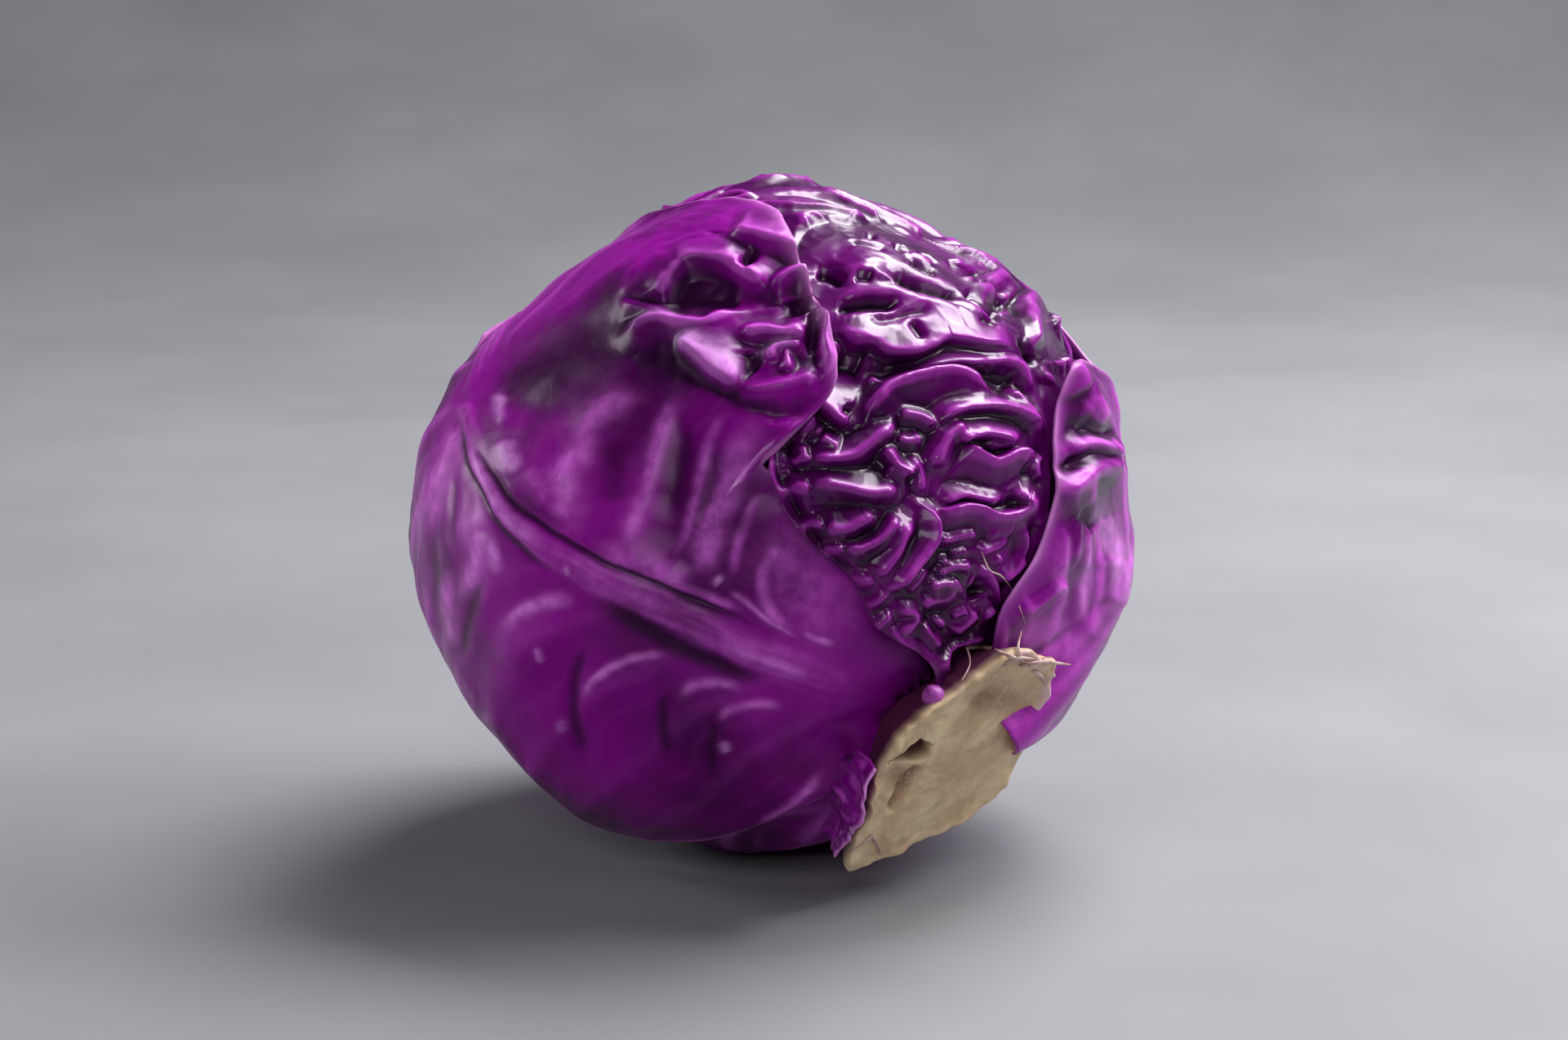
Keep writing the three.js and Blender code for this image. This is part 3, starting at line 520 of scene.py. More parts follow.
def marginLift(leaf, g):
    edge = np.exp(-(g["toMargin"] / 3.2) ** 2) * fade(g["v"], 0.05, 0.2)
    tip = np.exp(-(g["toTip"] / 3.2) ** 2)
    wave = 0.6 + 0.7 * noise(g["p"], 9, leaf["seed"] + 11) + 0.4 * noise(g["p"], 4, leaf["seed"] + 12)
    return leaf["open"] * np.maximum(edge, tip) * wave


def bladeThickness(g, middle=1.05, edge=0.5):
    near = np.minimum(g["toMargin"], g["toTip"])
    return edge + (middle - edge) * fade(near, 0, 7)


def edgeMark(g, leaf):
    near = np.minimum(g["toMargin"], g["toTip"]) + 0.5 * noise(g["p"], 5, leaf["seed"] + 14)
    return np.exp(-np.maximum(near, 0) / 0.9) * fade(g["v"], 0.02, 0.1)


# Materials
def nodeTree(tree):
    tree.nodes.clear()

    def add(kind, inputs=None, **settings):
        node = tree.nodes.new(kind)
        for key, value in settings.items():
            setattr(node, key, value)
        for key, value in (inputs or {}).items():
            if isinstance(value, bpy.types.NodeSocket):
                tree.links.new(value, node.inputs[key])
            else:
                node.inputs[key].default_value = value
        return node

    return add


def mixColour(add, share, first, second):
    node = add("ShaderNodeMix", data_type="RGBA")
    tree = node.id_data
    for socket, value in ((node.inputs[0], share), (node.inputs[6], first), (node.inputs[7], second)):
        if isinstance(value, bpy.types.NodeSocket):
            tree.links.new(value, socket)
        else:
            socket.default_value = value
    return node.outputs[2]


def ramp(add, share, low, high, first=0.0, second=1.0):
    limits = {"Value": share, "From Min": low, "From Max": high, "To Min": first, "To Max": second}
    return add("ShaderNodeMapRange", limits, interpolation_type="SMOOTHSTEP").outputs[0]


def calc(add, operation, a, b=None):
    node = add("ShaderNodeMath", operation=operation)
    for socket, value in ((node.inputs[0], a), (node.inputs[1], b)):
        if isinstance(value, bpy.types.NodeSocket):
            node.id_data.links.new(value, socket)
        elif value is not None:
            socket.default_value = value
    return node.outputs[0]


# A screen colour of 0 to 255 as the linear one that sockets take
def linear(*screen):
    out = []
    for c in screen:
        out.append(((c / 255 + 0.055) / 1.055) ** 2.4 if c > 10 else c / 255 / 12.92)
    return (*out, 1.0)


def cloudNoise(add, place, scale, detail, rough=0.5):
    return add("ShaderNodeTexNoise", {"Vector": place, "Scale": scale, "Detail": detail, "Roughness": rough})


def newMaterial(name):
    material = bpy.data.materials.new(name)
    material.use_nodes = True
    return material, nodeTree(material.node_tree)


def surface(add, inputs):
    shader = add("ShaderNodeBsdfPrincipled", inputs)
    add("ShaderNodeOutputMaterial", {"Surface": shader.outputs[0]})


# Leaf skin: purple flesh with paler ribs and side veins and a light margin, painted highlights on crests and
# where the painted highlight mark is, and painted shade in hollows
def leafSkinGroup():
    tree = bpy.data.node_groups.new("leaf skin", "ShaderNodeTree")
    face = tree.interface
    for name in markNames:
        face.new_socket(name, in_out="INPUT", socket_type="NodeSocketFloat")
    for name in ("HollowShade", "Deep", "Bright", "Pale", "Margin", "PaintedHighlightColour"):
        face.new_socket(name, in_out="INPUT", socket_type="NodeSocketColor")
    face.new_socket("Color", in_out="OUTPUT", socket_type="NodeSocketColor")
    face.new_socket("Roughness", in_out="OUTPUT", socket_type="NodeSocketFloat")
    face.new_socket("Height", in_out="OUTPUT", socket_type="NodeSocketFloat")
    add = nodeTree(tree)
    given = add("NodeGroupInput").outputs
    place = add("ShaderNodeTexCoord").outputs["Object"]
    cloud = cloudNoise(add, place, 34, 3).outputs[0]
    speck = cloudNoise(add, place, 420, 3, 0.6).outputs[0]
    grain = cloudNoise(add, place, 1700, 2).outputs[0]
    bend = cloudNoise(add, place, 130, 2).outputs[1]
    warped = add("ShaderNodeMix", data_type="VECTOR")
    tree.links.new(place, warped.inputs[4])
    tree.links.new(bend, warped.inputs[5])
    warped.inputs[0].default_value = 0.006
    cells = {"Vector": warped.outputs[1], "Scale": 210.0}
    net = add("ShaderNodeTexVoronoi", cells, feature="DISTANCE_TO_EDGE").outputs[0]
    netLine = ramp(add, net, 0.0, 0.12, 1.0, 0.0)
    streak = ramp(add, speck, 0.3, 0.7, 0.55, 1.0)
    flesh = mixColour(add, ramp(add, cloud, 0.35, 0.65), given["Deep"], given["Bright"])
    # The vein mark is partly pale veins and partly painted highlights.
    veinAndHighlightShare = calc(add, "MULTIPLY", given["Vein"], streak)
    flesh = mixColour(add, calc(add, "MULTIPLY", veinAndHighlightShare, 0.95), flesh, given["Pale"])
    ribShare = calc(add, "MULTIPLY", given["Rib"], streak)
    flesh = mixColour(add, calc(add, "MULTIPLY", ribShare, 0.6), flesh, given["Pale"])
    # Crests are painted paler as highlight, and hollows near black as painted shade.
    flesh = mixColour(add, ramp(add, given["Crest"], 0.6, 1.0, 0.0, 0.4), flesh, given["Pale"])
    flesh = mixColour(add, ramp(add, given["Crest"], 0.47, 0.12, 0.0, 0.88), flesh, given["HollowShade"])
    flesh = mixColour(add, calc(add, "MULTIPLY", given["Edge"], 0.8), flesh, given["Margin"])
    # Painted highlights in the highlight colour, where the painted highlight mark is given.
    flesh = mixColour(add, calc(add, "MULTIPLY", given["PaintedHighlight"], streak), flesh, given["PaintedHighlightColour"])
    bloom = calc(add, "MULTIPLY", ramp(add, cloud, 0.45, 0.7), ramp(add, speck, 0.35, 0.65, 0.3, 1.0))
    rough = calc(add, "ADD", calc(add, "MULTIPLY", bloom, 0.1), ramp(add, speck, 0.2, 0.8, 0.29, 0.41))
    height = calc(add, "ADD", calc(add, "MULTIPLY", netLine, 0.12), calc(add, "MULTIPLY", speck, 0.9))
    height = calc(add, "ADD", height, calc(add, "MULTIPLY", grain, 0.2))
    add("NodeGroupOutput", {"Color": flesh, "Roughness": rough, "Height": height})
    return tree


leafSkin = leafSkinGroup()


def leafMaterial(name, colours, specular, coat, coatRough, tint):
    material, add = newMaterial(name)
    skin = add("ShaderNodeGroup", node_tree=leafSkin)
    for mark in markNames:
        given = add("ShaderNodeAttribute", attribute_name=mark).outputs["Fac"]
        material.node_tree.links.new(given, skin.inputs[mark])
    for mark, value in colours.items():
        skin.inputs[mark].default_value = value
    relief = add("ShaderNodeBump", {"Height": skin.outputs["Height"], "Strength": 0.3, "Distance": 0.0002})
    surface(add, {
        "Base Color": skin.outputs["Color"],
        "Roughness": skin.outputs["Roughness"],
        "Normal": relief.outputs[0],
        "IOR": 1.42,
        "Specular IOR Level": specular,
        "Specular Tint": tint,
        "Coat Weight": coat,
        "Coat Roughness": coatRough,
    })
    return material


def stumpMaterial():
    material, add = newMaterial("cut_stalk")
    place = add("ShaderNodeTexCoord").outputs["Object"]
    marks = {}
    for mark in ("Brown", "Tear", "Side", "Lip"):
        marks[mark] = add("ShaderNodeAttribute", attribute_name=mark).outputs["Fac"]
    cloud = cloudNoise(add, place, 110, 4, 0.55).outputs[0]
    grain = cloudNoise(add, place, 750, 4, 0.65).outputs[0]
    flesh = mixColour(add, ramp(add, cloud, 0.32, 0.68), linear(206, 172, 134), linear(240, 214, 174))
    brownShare = calc(add, "MULTIPLY", marks["Brown"], ramp(add, grain, 0.3, 0.6, 0.5, 0.9))
    flesh = mixColour(add, brownShare, flesh, linear(142, 98, 70))
    # Pale flecks scattered by the grain, painted as highlights.
    flesh = mixColour(add, ramp(add, grain, 0.52, 0.75, 0.0, 0.45), flesh, linear(242, 224, 192))
    flesh = mixColour(add, marks["Lip"], flesh, linear(226, 190, 200))
    flesh = mixColour(add, marks["Tear"], flesh, linear(74, 6, 30))
    # The side below the cut face is painted dark purple, darker deeper down, as shade where it goes in among
    # the leaf bases.
    flesh = mixColour(add, marks["Side"], flesh, linear(84, 18, 62))
    height = calc(add, "ADD", calc(add, "MULTIPLY", cloud, 1.0), calc(add, "MULTIPLY", grain, 0.6))
    relief = add("ShaderNodeBump", {"Height": height, "Strength": 0.5, "Distance": 0.0005})
    rough = ramp(add, grain, 0.2, 0.8, 0.55, 0.8)
    surface(add, {"Base Color": flesh, "Roughness": rough, "Normal": relief.outputs[0]})
    return material


def fibreMaterial():
    material, add = newMaterial("dry_fibre")
    place = add("ShaderNodeTexCoord").outputs["Object"]
    cloud = cloudNoise(add, place, 260, 4).outputs[0]
    flesh = mixColour(add, ramp(add, cloud, 0.35, 0.65), linear(176, 128, 132), linear(222, 196, 190))
    relief = add("ShaderNodeBump", {"Height": cloud, "Strength": 0.5, "Distance": 0.0003})
    rough = ramp(add, cloud, 0.2, 0.8, 0.5, 0.75)
    surface(add, {"Base Color": flesh, "Roughness": rough, "Normal": relief.outputs[0]})
    return material


# The darkest colour of each leaf is the painted shade of creases and hollows, and the last lilac one is the
# colour of painted highlights.
smoothColours = {
    "HollowShade": linear(24, 0, 30),
    "Deep": linear(86, 0, 90),
    "Bright": linear(148, 0, 152),
    "Pale": linear(240, 112, 246),
    "Margin": linear(216, 130, 214),
    "PaintedHighlightColour": linear(216, 160, 226),
}
crinkledColours = {
    "HollowShade": linear(8, 0, 12),
    "Deep": linear(58, 0, 62),
    "Bright": linear(112, 0, 116),
    "Pale": linear(206, 66, 210),
    "Margin": linear(110, 24, 110),
    "PaintedHighlightColour": linear(216, 160, 226),
}
rightColours = {
    "HollowShade": linear(20, 0, 24),
    "Deep": linear(84, 0, 88),
    "Bright": linear(132, 0, 138),
    "Pale": linear(232, 92, 236),
    "Margin": linear(222, 140, 220),
    "PaintedHighlightColour": linear(216, 160, 226),
}
materials = {
    "smooth": leafMaterial("purple_leaf", smoothColours, 0.26, 0.12, 0.22, (0.96, 0.5, 1.0, 1.0)),
    "crinkled": leafMaterial("crinkled_leaf", crinkledColours, 0.24, 0.4, 0.15, (0.98, 0.6, 1.0, 1.0)),
    "right": leafMaterial("bright_leaf", rightColours, 0.3, 0.15, 0.2, (0.96, 0.5, 1.0, 1.0)),
    "stump": stumpMaterial(),
    "fibre": fibreMaterial(),
}
print("materials made")


# The leaves, innermost first. `midrib`, `low` and `high` give (along, across) of the midrib and margins.
leafBack = {
    "name": "leaf_back", "nodes": ["leaf_back"], "slot": "purple_leaf",
    "skin": "smooth", "seed": 1.7,
    "turn": 178, "start": 10, "end": 214, "round": 16, "open": 0.3,
    "rows": 280, "columns": 160, "readRows": 84, "readColumns": 56,
    "midrib": [(10, 0), (60, 3), (110, -3), (214, 0)],
    "low": [(10, -8), (20, -18), (30, -28), (45, -38), (75, -46), (105, -48), (150, -50), (190, -44),
        (214, -22)],
    "high": [(10, 8), (20, 18), (30, 28), (45, 38), (75, 46), (105, 48), (150, 50), (190, 44), (214, 22)],
}
leafBottom = {
    "name": "leaf_bottom", "nodes": ["leaf_bottom"], "slot": "purple_leaf",
    "skin": "smooth", "seed": 4.1,
    "turn": 115, "start": 10, "end": 176, "round": 14, "open": 0.5,
    "rows": 240, "columns": 160, "readRows": 80, "readColumns": 56,
    "midrib": [(10, -2), (56, -6), (110, 2), (176, 0)],
    "low": [(10, -9), (20, -20), (30, -29), (45, -38), (75, -46), (105, -48), (145, -42), (176, -18)],
    "high": [(10, 8), (20, 18), (30, 28), (45, 37), (75, 48), (105, 50), (145, 44), (176, 18)],
}
leafLeft = {
    "name": "leaf_left", "nodes": ["leaf_left"], "slot": "purple_leaf",
    "skin": "smooth", "seed": 2.9,
    "turn": 62, "start": 10, "end": 168, "round": 14, "open": 0.7,
    "rows": 260, "columns": 180, "readRows": 76, "readColumns": 56,
    "midrib": [(10, -2), (60, -6), (110, 4), (168, 2)],
    "low": [(10, -9), (20, -20), (30, -32), (45, -49), (60, -59), (80, -61), (104, -59), (125, -52),
        (150, -38), (168, -16)],
    "high": [(10, 6), (20, 12), (30, 16), (46, 20), (66, 27), (85, 43), (105, 52), (140, 47), (168, 20)],
}
leafFront = {
    "name": "leaf_front", "nodes": ["leaf_front"], "slot": "purple_leaf",
    "skin": "smooth", "seed": 0.6,
    "turn": 0, "start": 10, "end": 166, "round": 10, "hang": 3.6, "open": 0.5,
    "rows": 320, "columns": 256, "readRows": 120, "readColumns": 88,
    "midrib": [(10, -5), (19, -9.2), (33, -8.4), (52, -5.3), (73, 0), (85, 3), (98, 5), (110, 4.6),
        (130, 3), (166, 2)],
    "low": [(10, -12), (18, -19), (28, -27), (40, -30.5), (52, -31), (56.5, -30.5), (58, -29.5),
        (61.5, -30.5), (63, -43.5), (67, -48.5), (71.5, -51), (80, -54), (92, -56), (112, -57),
        (132, -56), (146, -48), (166, -18)],
    "high": [(10, 5), (14, 9), (18, 17), (23, 35), (28, 49), (34, 57), (48, 60), (70, 59), (86, 55.5),
        (114, 42), (134, 36), (146, 31), (166, 12)],
}
leafCrinkled = {
    "name": "leaf_crinkled", "nodes": ["leaf_crinkled"], "slot": "crinkled_leaf",
    "skin": "crinkled", "seed": 3.3,
    "turn": -75, "start": 10, "end": 152, "round": 8, "open": 0.12, "finer": 0.25,
    "rows": 352, "columns": 256, "readRows": 120, "readColumns": 110,
    "midrib": [(10, 0), (30, 1), (60, -7), (100, -18), (152, -14)],
    "low": [(10, -8), (18, -14), (25, -19), (35, -25), (46, -29), (55, -35), (65, -47), (75, -61),
        (90, -72), (112, -74), (135, -61), (152, -34)],
    "high": [(10, 7), (18, 9.5), (22, 14), (24, 18), (26.5, 21.5), (33.5, 24.8), (39, 30), (46, 35),
        (55, 37), (60, 35), (63, 30.5), (67, 29.5), (72, 28), (80, 26), (90, 25), (102, 29), (115, 35),
        (135, 39), (152, 27)],
}
leafRight = {
    "name": "leaf_right", "nodes": ["leaf_right"], "slot": "purple_leaf",
    "skin": "right", "seed": 5.2,
    "turn": -130, "start": 10, "end": 164, "round": 14, "open": 0.25,
    "rows": 320, "columns": 240, "readRows": 90, "readColumns": 70,
    "midrib": [(10, 0), (40, -8), (70, -19), (110, -24), (164, -6)],
    "low": [(10, -8), (20, -17), (30, -28), (45, -42), (70, -56), (95, -62), (125, -56), (164, -22)],
    "high": [(10, 8), (14, 14.5), (18, 19.4), (23, 21.2), (31, 22.6), (42, 26.6), (50, 30), (60, 31.2),
        (66, 28), (73, 14), (80, -1), (90, -7), (106, -5), (122, 0), (145, 6), (164, 6)],
}

# Folds on the front, in millimetres right of and above the head's middle
foldsHeart = [
    [3.4, 2.0, 1.1, -1.2, [(36.8, 14.2), (37.2, 15.2), (38.4, 16.2), (40, 16.8), (42, 16.9), (44, 16.6),
        (46, 16), (48, 15.1), (49.3, 14)]],
    [2.2, 1.0, 0.8, -0.4, [(43.4, 15), (44.6, 14), (47, 14.1), (49, 14)]],
    [3.2, 1.1, 3.0, 0.9, [(38.4, 13.6), (39.6, 12.8), (40.8, 11.7), (42.6, 10.6), (45, 9.8), (47, 10.4),
        (49.1, 11.5), (51.2, 11.4), (52.6, 10.6)]],
    [3.1, 2.2, 1.5, 0.5, [(39, 19.2), (36.5, 17.8), (34.4, 16), (33.3, 13.6), (32.4, 11.4), (31.8, 9.2)]],
    [3.4, 1.5, 1.3, -0.9, [(32.8, 17.4), (33.8, 19.4), (35.5, 21), (38, 22.1), (41, 22.4), (44, 22.2),
        (47, 21.6), (49.2, 20.8), (51.2, 19.8), (52.7, 18.8), (53.5, 16.8), (54, 14.6)]],
    [3.6, 1.6, 3.2, 0.6, [(18.9, 18.4), (20, 21.4), (21.6, 23.6), (24, 25.8), (28, 27.4), (32.2, 28.1),
        (36.5, 28), (39, 27.4), (41.6, 25.3), (44.3, 22.7)]],
    [1.9, 1.1, 1.2, 0.3, [(19.2, 28), (21, 26.9), (23, 26.2)]],
    [2.6, 1.5, 1.1, -1.1, [(27.5, 29.9), (30.5, 30.6), (34, 31), (39, 31.2), (44, 31.4), (47, 31),
        (49.7, 29.7), (51, 28.2), (52.2, 26.3), (53.2, 25)]],
    [2.2, 0.9, 0.9, 0, [(48, 25.2), (49.7, 23.2), (51.4, 21.3), (52.8, 20.6)]],
    [-1.6, 2.4, 2.4, 0, [(40.5, 28.6), (46, 27.5), (49, 25.5)]],
    [3.4, 1.0, 2.2, 1.1, [(31.9, 0.6), (35.6, -0.3), (38.6, 0.2), (41.7, 0), (43.8, -1.1), (46.6, -1.4),
        (49.3, -0.8), (50.9, 0.9), (50.9, 3), (49.3, 4.3), (47.6, 4.5)]],
    [2.3, 1.5, 1.1, -0.6, [(34, 2), (36, 3.2), (38.6, 4.2), (41.1, 3.9), (44.1, 3.3), (46.9, 3.7)]],
    [1.8, 1.0, 1.0, 0, [(54.8, 12), (53.2, 10.2), (53.2, 8.2), (54, 6.2)]],
    [1.9, 0.9, 0.9, 0, [(54.5, 0.4), (52.6, -2.8)]],
]
foldsRim = [
    [-1.8, 1.3, 1.3, 0, [(2.4, 14), (1.8, 9), (2.7, 4), (5.7, -1.5), (9.2, -6.5), (14, -11.5),
        (17.3, -16), (19, -22)]],
    [2.2, 1.2, 1.2, 0, [(1.2, 4.4), (4, 4.6), (7, 5.2)]],
    [2.2, 1.1, 1.1, 0, [(3, 9.8), (5, 10.8), (7.5, 11.2)]],
    [2.0, 1.1, 1.1, 0, [(5, -2.6), (7.5, -2.2), (10, -2.4)]],
    [2.0, 1.0, 1.1, 0, [(9.4, -7.6), (11.5, -7.2), (13.5, -6.4)]],
    [2.1, 1.1, 1.2, 0, [(14.6, -13.4), (17, -13.6), (20, -13)]],
    [1.8, 1.0, 1.0, 0, [(17.8, -18.6), (20, -17.6), (22.4, -15.4)]],
    [1.9, 1.0, 1.0, 0, [(18.6, -25), (20.6, -22.4), (23.6, -19.8)]],
    [2.4, 1.1, 1.1, 0.3, [(52.6, 27), (54, 22.5), (55, 17), (55.7, 12), (55.2, 6), (54.6, 0), (53.6, -5),
        (53, -10), (51.4, -15), (49.6, -19.5)]],
    [2.2, 1.0, 1.0, 0, [(55.4, 26), (57, 21), (57.6, 15), (57.8, 9)]],
    [2.0, 0.9, 0.9, 0, [(49.4, -2.6), (51, -6), (50.6, -9.6), (49, -13)]],
    [2.0, 1.3, 1.3, 0, [(26, -15.8), (28.6, -13.4), (30.6, -11)]],
    [1.8, 1.0, 1.0, 0, [(33.6, -9.6), (36, -10.8), (38.8, -10)]],
    [2.0, 1.1, 1.1, 0, [(32.6, -4.6), (35.4, -5.4), (38.6, -4.4), (41.6, -4.6)]],
    [2.2, 1.2, 1.2, 0, [(27, 12), (29.4, 9.6), (30, 6.4), (29.4, 4)]],
    [1.9, 1.0, 1.0, 0, [(43, -5), (46, -3.8), (48.6, -4.2)]],
    [2.0, 1.2, 1.2, 0, [(22.6, -22), (25.4, -26), (28, -28.6)]],
    [1.9, 1.1, 1.1, 0, [(30, -22.6), (32.4, -25.2), (34.6, -28)]],
]
foldsNeck = [
    [3.7, 1.4, 1.9, 0.9, [(29.2, 1.7), (31.2, -0.3), (31.9, -3.1), (31.3, -5.5), (29.5, -8), (27, -10.4),
        (24.6, -12.9), (21.6, -15.2)]],
    [3.0, 1.5, 2.0, 0.3, [(27.7, -1), (25.5, -4), (24, -7.1), (21.8, -10.2), (20, -13)]],
    [2.8, 2.2, 1.8, 0, [(9.5, -2.4), (13.6, -3), (17, -1.2), (20, 0.4)]],
    [2.7, 1.1, 1.5, 0.4, [(12.7, -6), (16, -7.1), (19.4, -6.1), (21.9, -4.3), (24, -1.9), (25.2, -0.5)]],
    [2.0, 1.1, 1.1, -0.3, [(41.1, -7.7), (44.7, -6.8), (47.2, -4.6)]],
    [1.6, 0.9, 1.1, 0, [(36, -8.4), (39.6, -7.6)]],
    [2.3, 1.1, 1.3, 0.3, [(32.8, -13.2), (35, -12.2), (37.4, -11.3), (40.4, -10.7)]],
    [2.7, 1.2, 2.4, 0.5, [(30.8, -15.6), (33.5, -15), (36.2, -14.8), (38, -13.6)]],
    [2.2, 1.4, 1.4, 0, [(29.5, -19), (31.3, -18), (34.7, -17.8), (37, -15.6)]],
    [2.0, 1.3, 1.3, 0, [(24, -19.3), (27.7, -19.9), (28.3, -21.5), (26.4, -23.2), (24.6, -24.5)]],
    [2.5, 1.0, 1.6, 0.4, [(52, -9.6), (50.2, -11.6), (47.2, -14.1)]],
    [1.7, 0.6, 0.6, 0, [(41.7, -11), (44.1, -12.3), (46.3, -15.3), (47.8, -19), (48.7, -21.4)]],
    [2.4, 1.5, 1.7, 0, [(42.6, -20.5), (39.9, -23.2), (37.4, -25.7)]],
    [1.8, 1.1, 1.1, 0, [(36.6, -21.6), (38.6, -20.6), (40, -20.2)]],
    [-2.4, 1.8, 1.8, 0, [(41.5, -14), (43.5, -18)]],
]
foldsCheek = [
    [3.4, 4.4, 1.2, -0.6, [(8.2, 23.2), (10.8, 21.8), (12.8, 20), (15.5, 18.7)]],
    [-1.6, 1.1, 1.1, 0, [(14.2, 22), (15.6, 20.8)]],
    [2.7, 1.6, 1.5, 0.3, [(9, 15.2), (11, 14), (13, 12.9)]],
    [1.8, 1.0, 1.0, 0, [(8.4, 17.2), (9.6, 16.2)]],
    [3.5, 1.8, 1.7, -0.4, [(6.5, 11.2), (10.8, 11.2), (14.9, 11.7), (18, 13.4), (21, 15.8), (22.8, 17.6),
        (23.6, 19.5)]],
    [3.6, 1.7, 1.3, -0.7, [(22.4, 13.6), (23.6, 11.9), (25, 9.9), (27.5, 8.8), (28.6, 8)]],
    [2.8, 1.5, 1.9, 0, [(22.6, 9.2), (25, 8), (27.6, 7.6)]],
    [3.4, 2.2, 2.1, -0.6, [(6.5, 5), (10, 6.2), (14, 5.8), (19, 4.8), (23, 4.9), (26, 5.4)]],
    [2.0, 1.0, 1.0, 0, [(5.4, 14), (5.6, 12), (5.9, 9.6)]],
    [2.4, 1.1, 1.3, 0, [(25, 20.2), (29, 19.5), (31, 18.8), (32.8, 17.4)]],
    [2.4, 1.4, 1.4, 0, [(24.5, 15.5), (27, 14.8), (30, 15.4)]],
    [-1.6, 2.2, 2.2, 0, [(2.5, 16), (3, 11), (3.5, 7)]],
]
foldsCrown = [
    [3.4, 6.0, 1.1, -1.1, [(10.9, 38.8), (14.2, 38.7), (17.3, 36.9), (20.9, 35.6), (23.4, 33.9),
        (27.7, 33.7), (31.3, 34.4), (34, 35.6), (38.6, 35), (44.7, 33.8), (50.2, 32.6)]],
    [2.8, 7.5, 7.5, 0, [(12, 53), (24, 47.5), (36, 42.5), (47, 38.5)]],
    [2.9, 2.4, 1.0, 0.2, [(50, 46), (51.4, 42), (52.2, 37), (52, 33)]],
    [-2.6, 1.3, 1.3, 0, [(23.4, 50), (27.1, 47.2), (31.3, 45.4), (38, 43)]],
    [-2.2, 1.1, 1.1, 0, [(12.7, 43.6), (15.8, 43.6), (20.3, 43.3), (26.4, 42.7)]],
    [-2.4, 1.3, 1.3, 0, [(38.6, 45.4), (41.1, 43.3), (44.1, 40.8), (46, 39.9)]],
    [-2.4, 1.3, 1.3, 0, [(43.4, 42), (46.3, 43.4), (48.9, 43.9)]],
    [-1.4, 0.7, 0.7, 0, [(27.4, 52.1), (30.1, 50.6), (33.5, 49.1)]],
    [-1.0, 0.6, 0.6, 0, [(15.5, 57.3), (20.3, 55.5), (23.4, 54.3)]],
    [-1.6, 1.0, 1.0, 0, [(19.7, 59.6), (21.8, 58.6)]],
    [-1.6, 1.3, 1.3, 0, [(25.2, 57.9), (29.5, 54.9)]],
    [-2.4, 1.1, 1.1, 0, [(8.7, 52.1), (10.9, 52.1), (13, 50.6), (14.5, 48.1)]],
    [-1.2, 0.7, 0.7, 0, [(16.4, 48.9), (20.4, 48)]],
    [-0.9, 0.6, 0.6, 0, [(20.3, 47.5), (25.2, 46.9), (29.5, 44.5), (34, 43), (38.6, 40.8)]],
    [-1.5, 0.8, 0.8, 0, [(40.6, 39.4), (42.3, 38.6), (44, 38.4)]],
    [-1.2, 0.6, 0.6, 0, [(27.6, 39.4), (28.6, 37.6), (29.5, 35.6)]],
    [-1.0, 0.9, 0.9, 0, [(19.4, 40.6), (23, 39.8), (27, 40.6), (32, 40.8)]],
    [-1.4, 0.6, 0.6, 0, [(48.7, 35.6), (50.9, 32.6), (53.3, 29.8)]],
    [-1.2, 0.8, 0.8, 0, [(40.6, 48.8), (44, 48.6)]],
    [-1.8, 1.2, 1.2, 0, [(30, 56.5), (35, 52.5), (41, 49.5)]],
    [2.4, 1.6, 1.4, -0.4, [(33, 53.5), (37.5, 50.4), (42, 47.6), (46.5, 45)]],
    [2.2, 1.3, 1.3, 0, [(26, 55.5), (30.5, 53), (34, 51.5)]],
    [-1.8, 1.0, 1.0, 0, [(36, 54), (40.5, 51.5), (44.5, 50.3)]],
    [2.4, 1.3, 1.3, 0, [(44.5, 50.5), (47.5, 47.5), (49.5, 44)]],
    [-1.6, 1.0, 1.0, 0, [(46, 47.5), (48.6, 44.5), (50.6, 40)]],
    [-2.0, 3.0, 3.0, 0, [(13, 33), (16, 31.5), (19, 30.5)]],
]
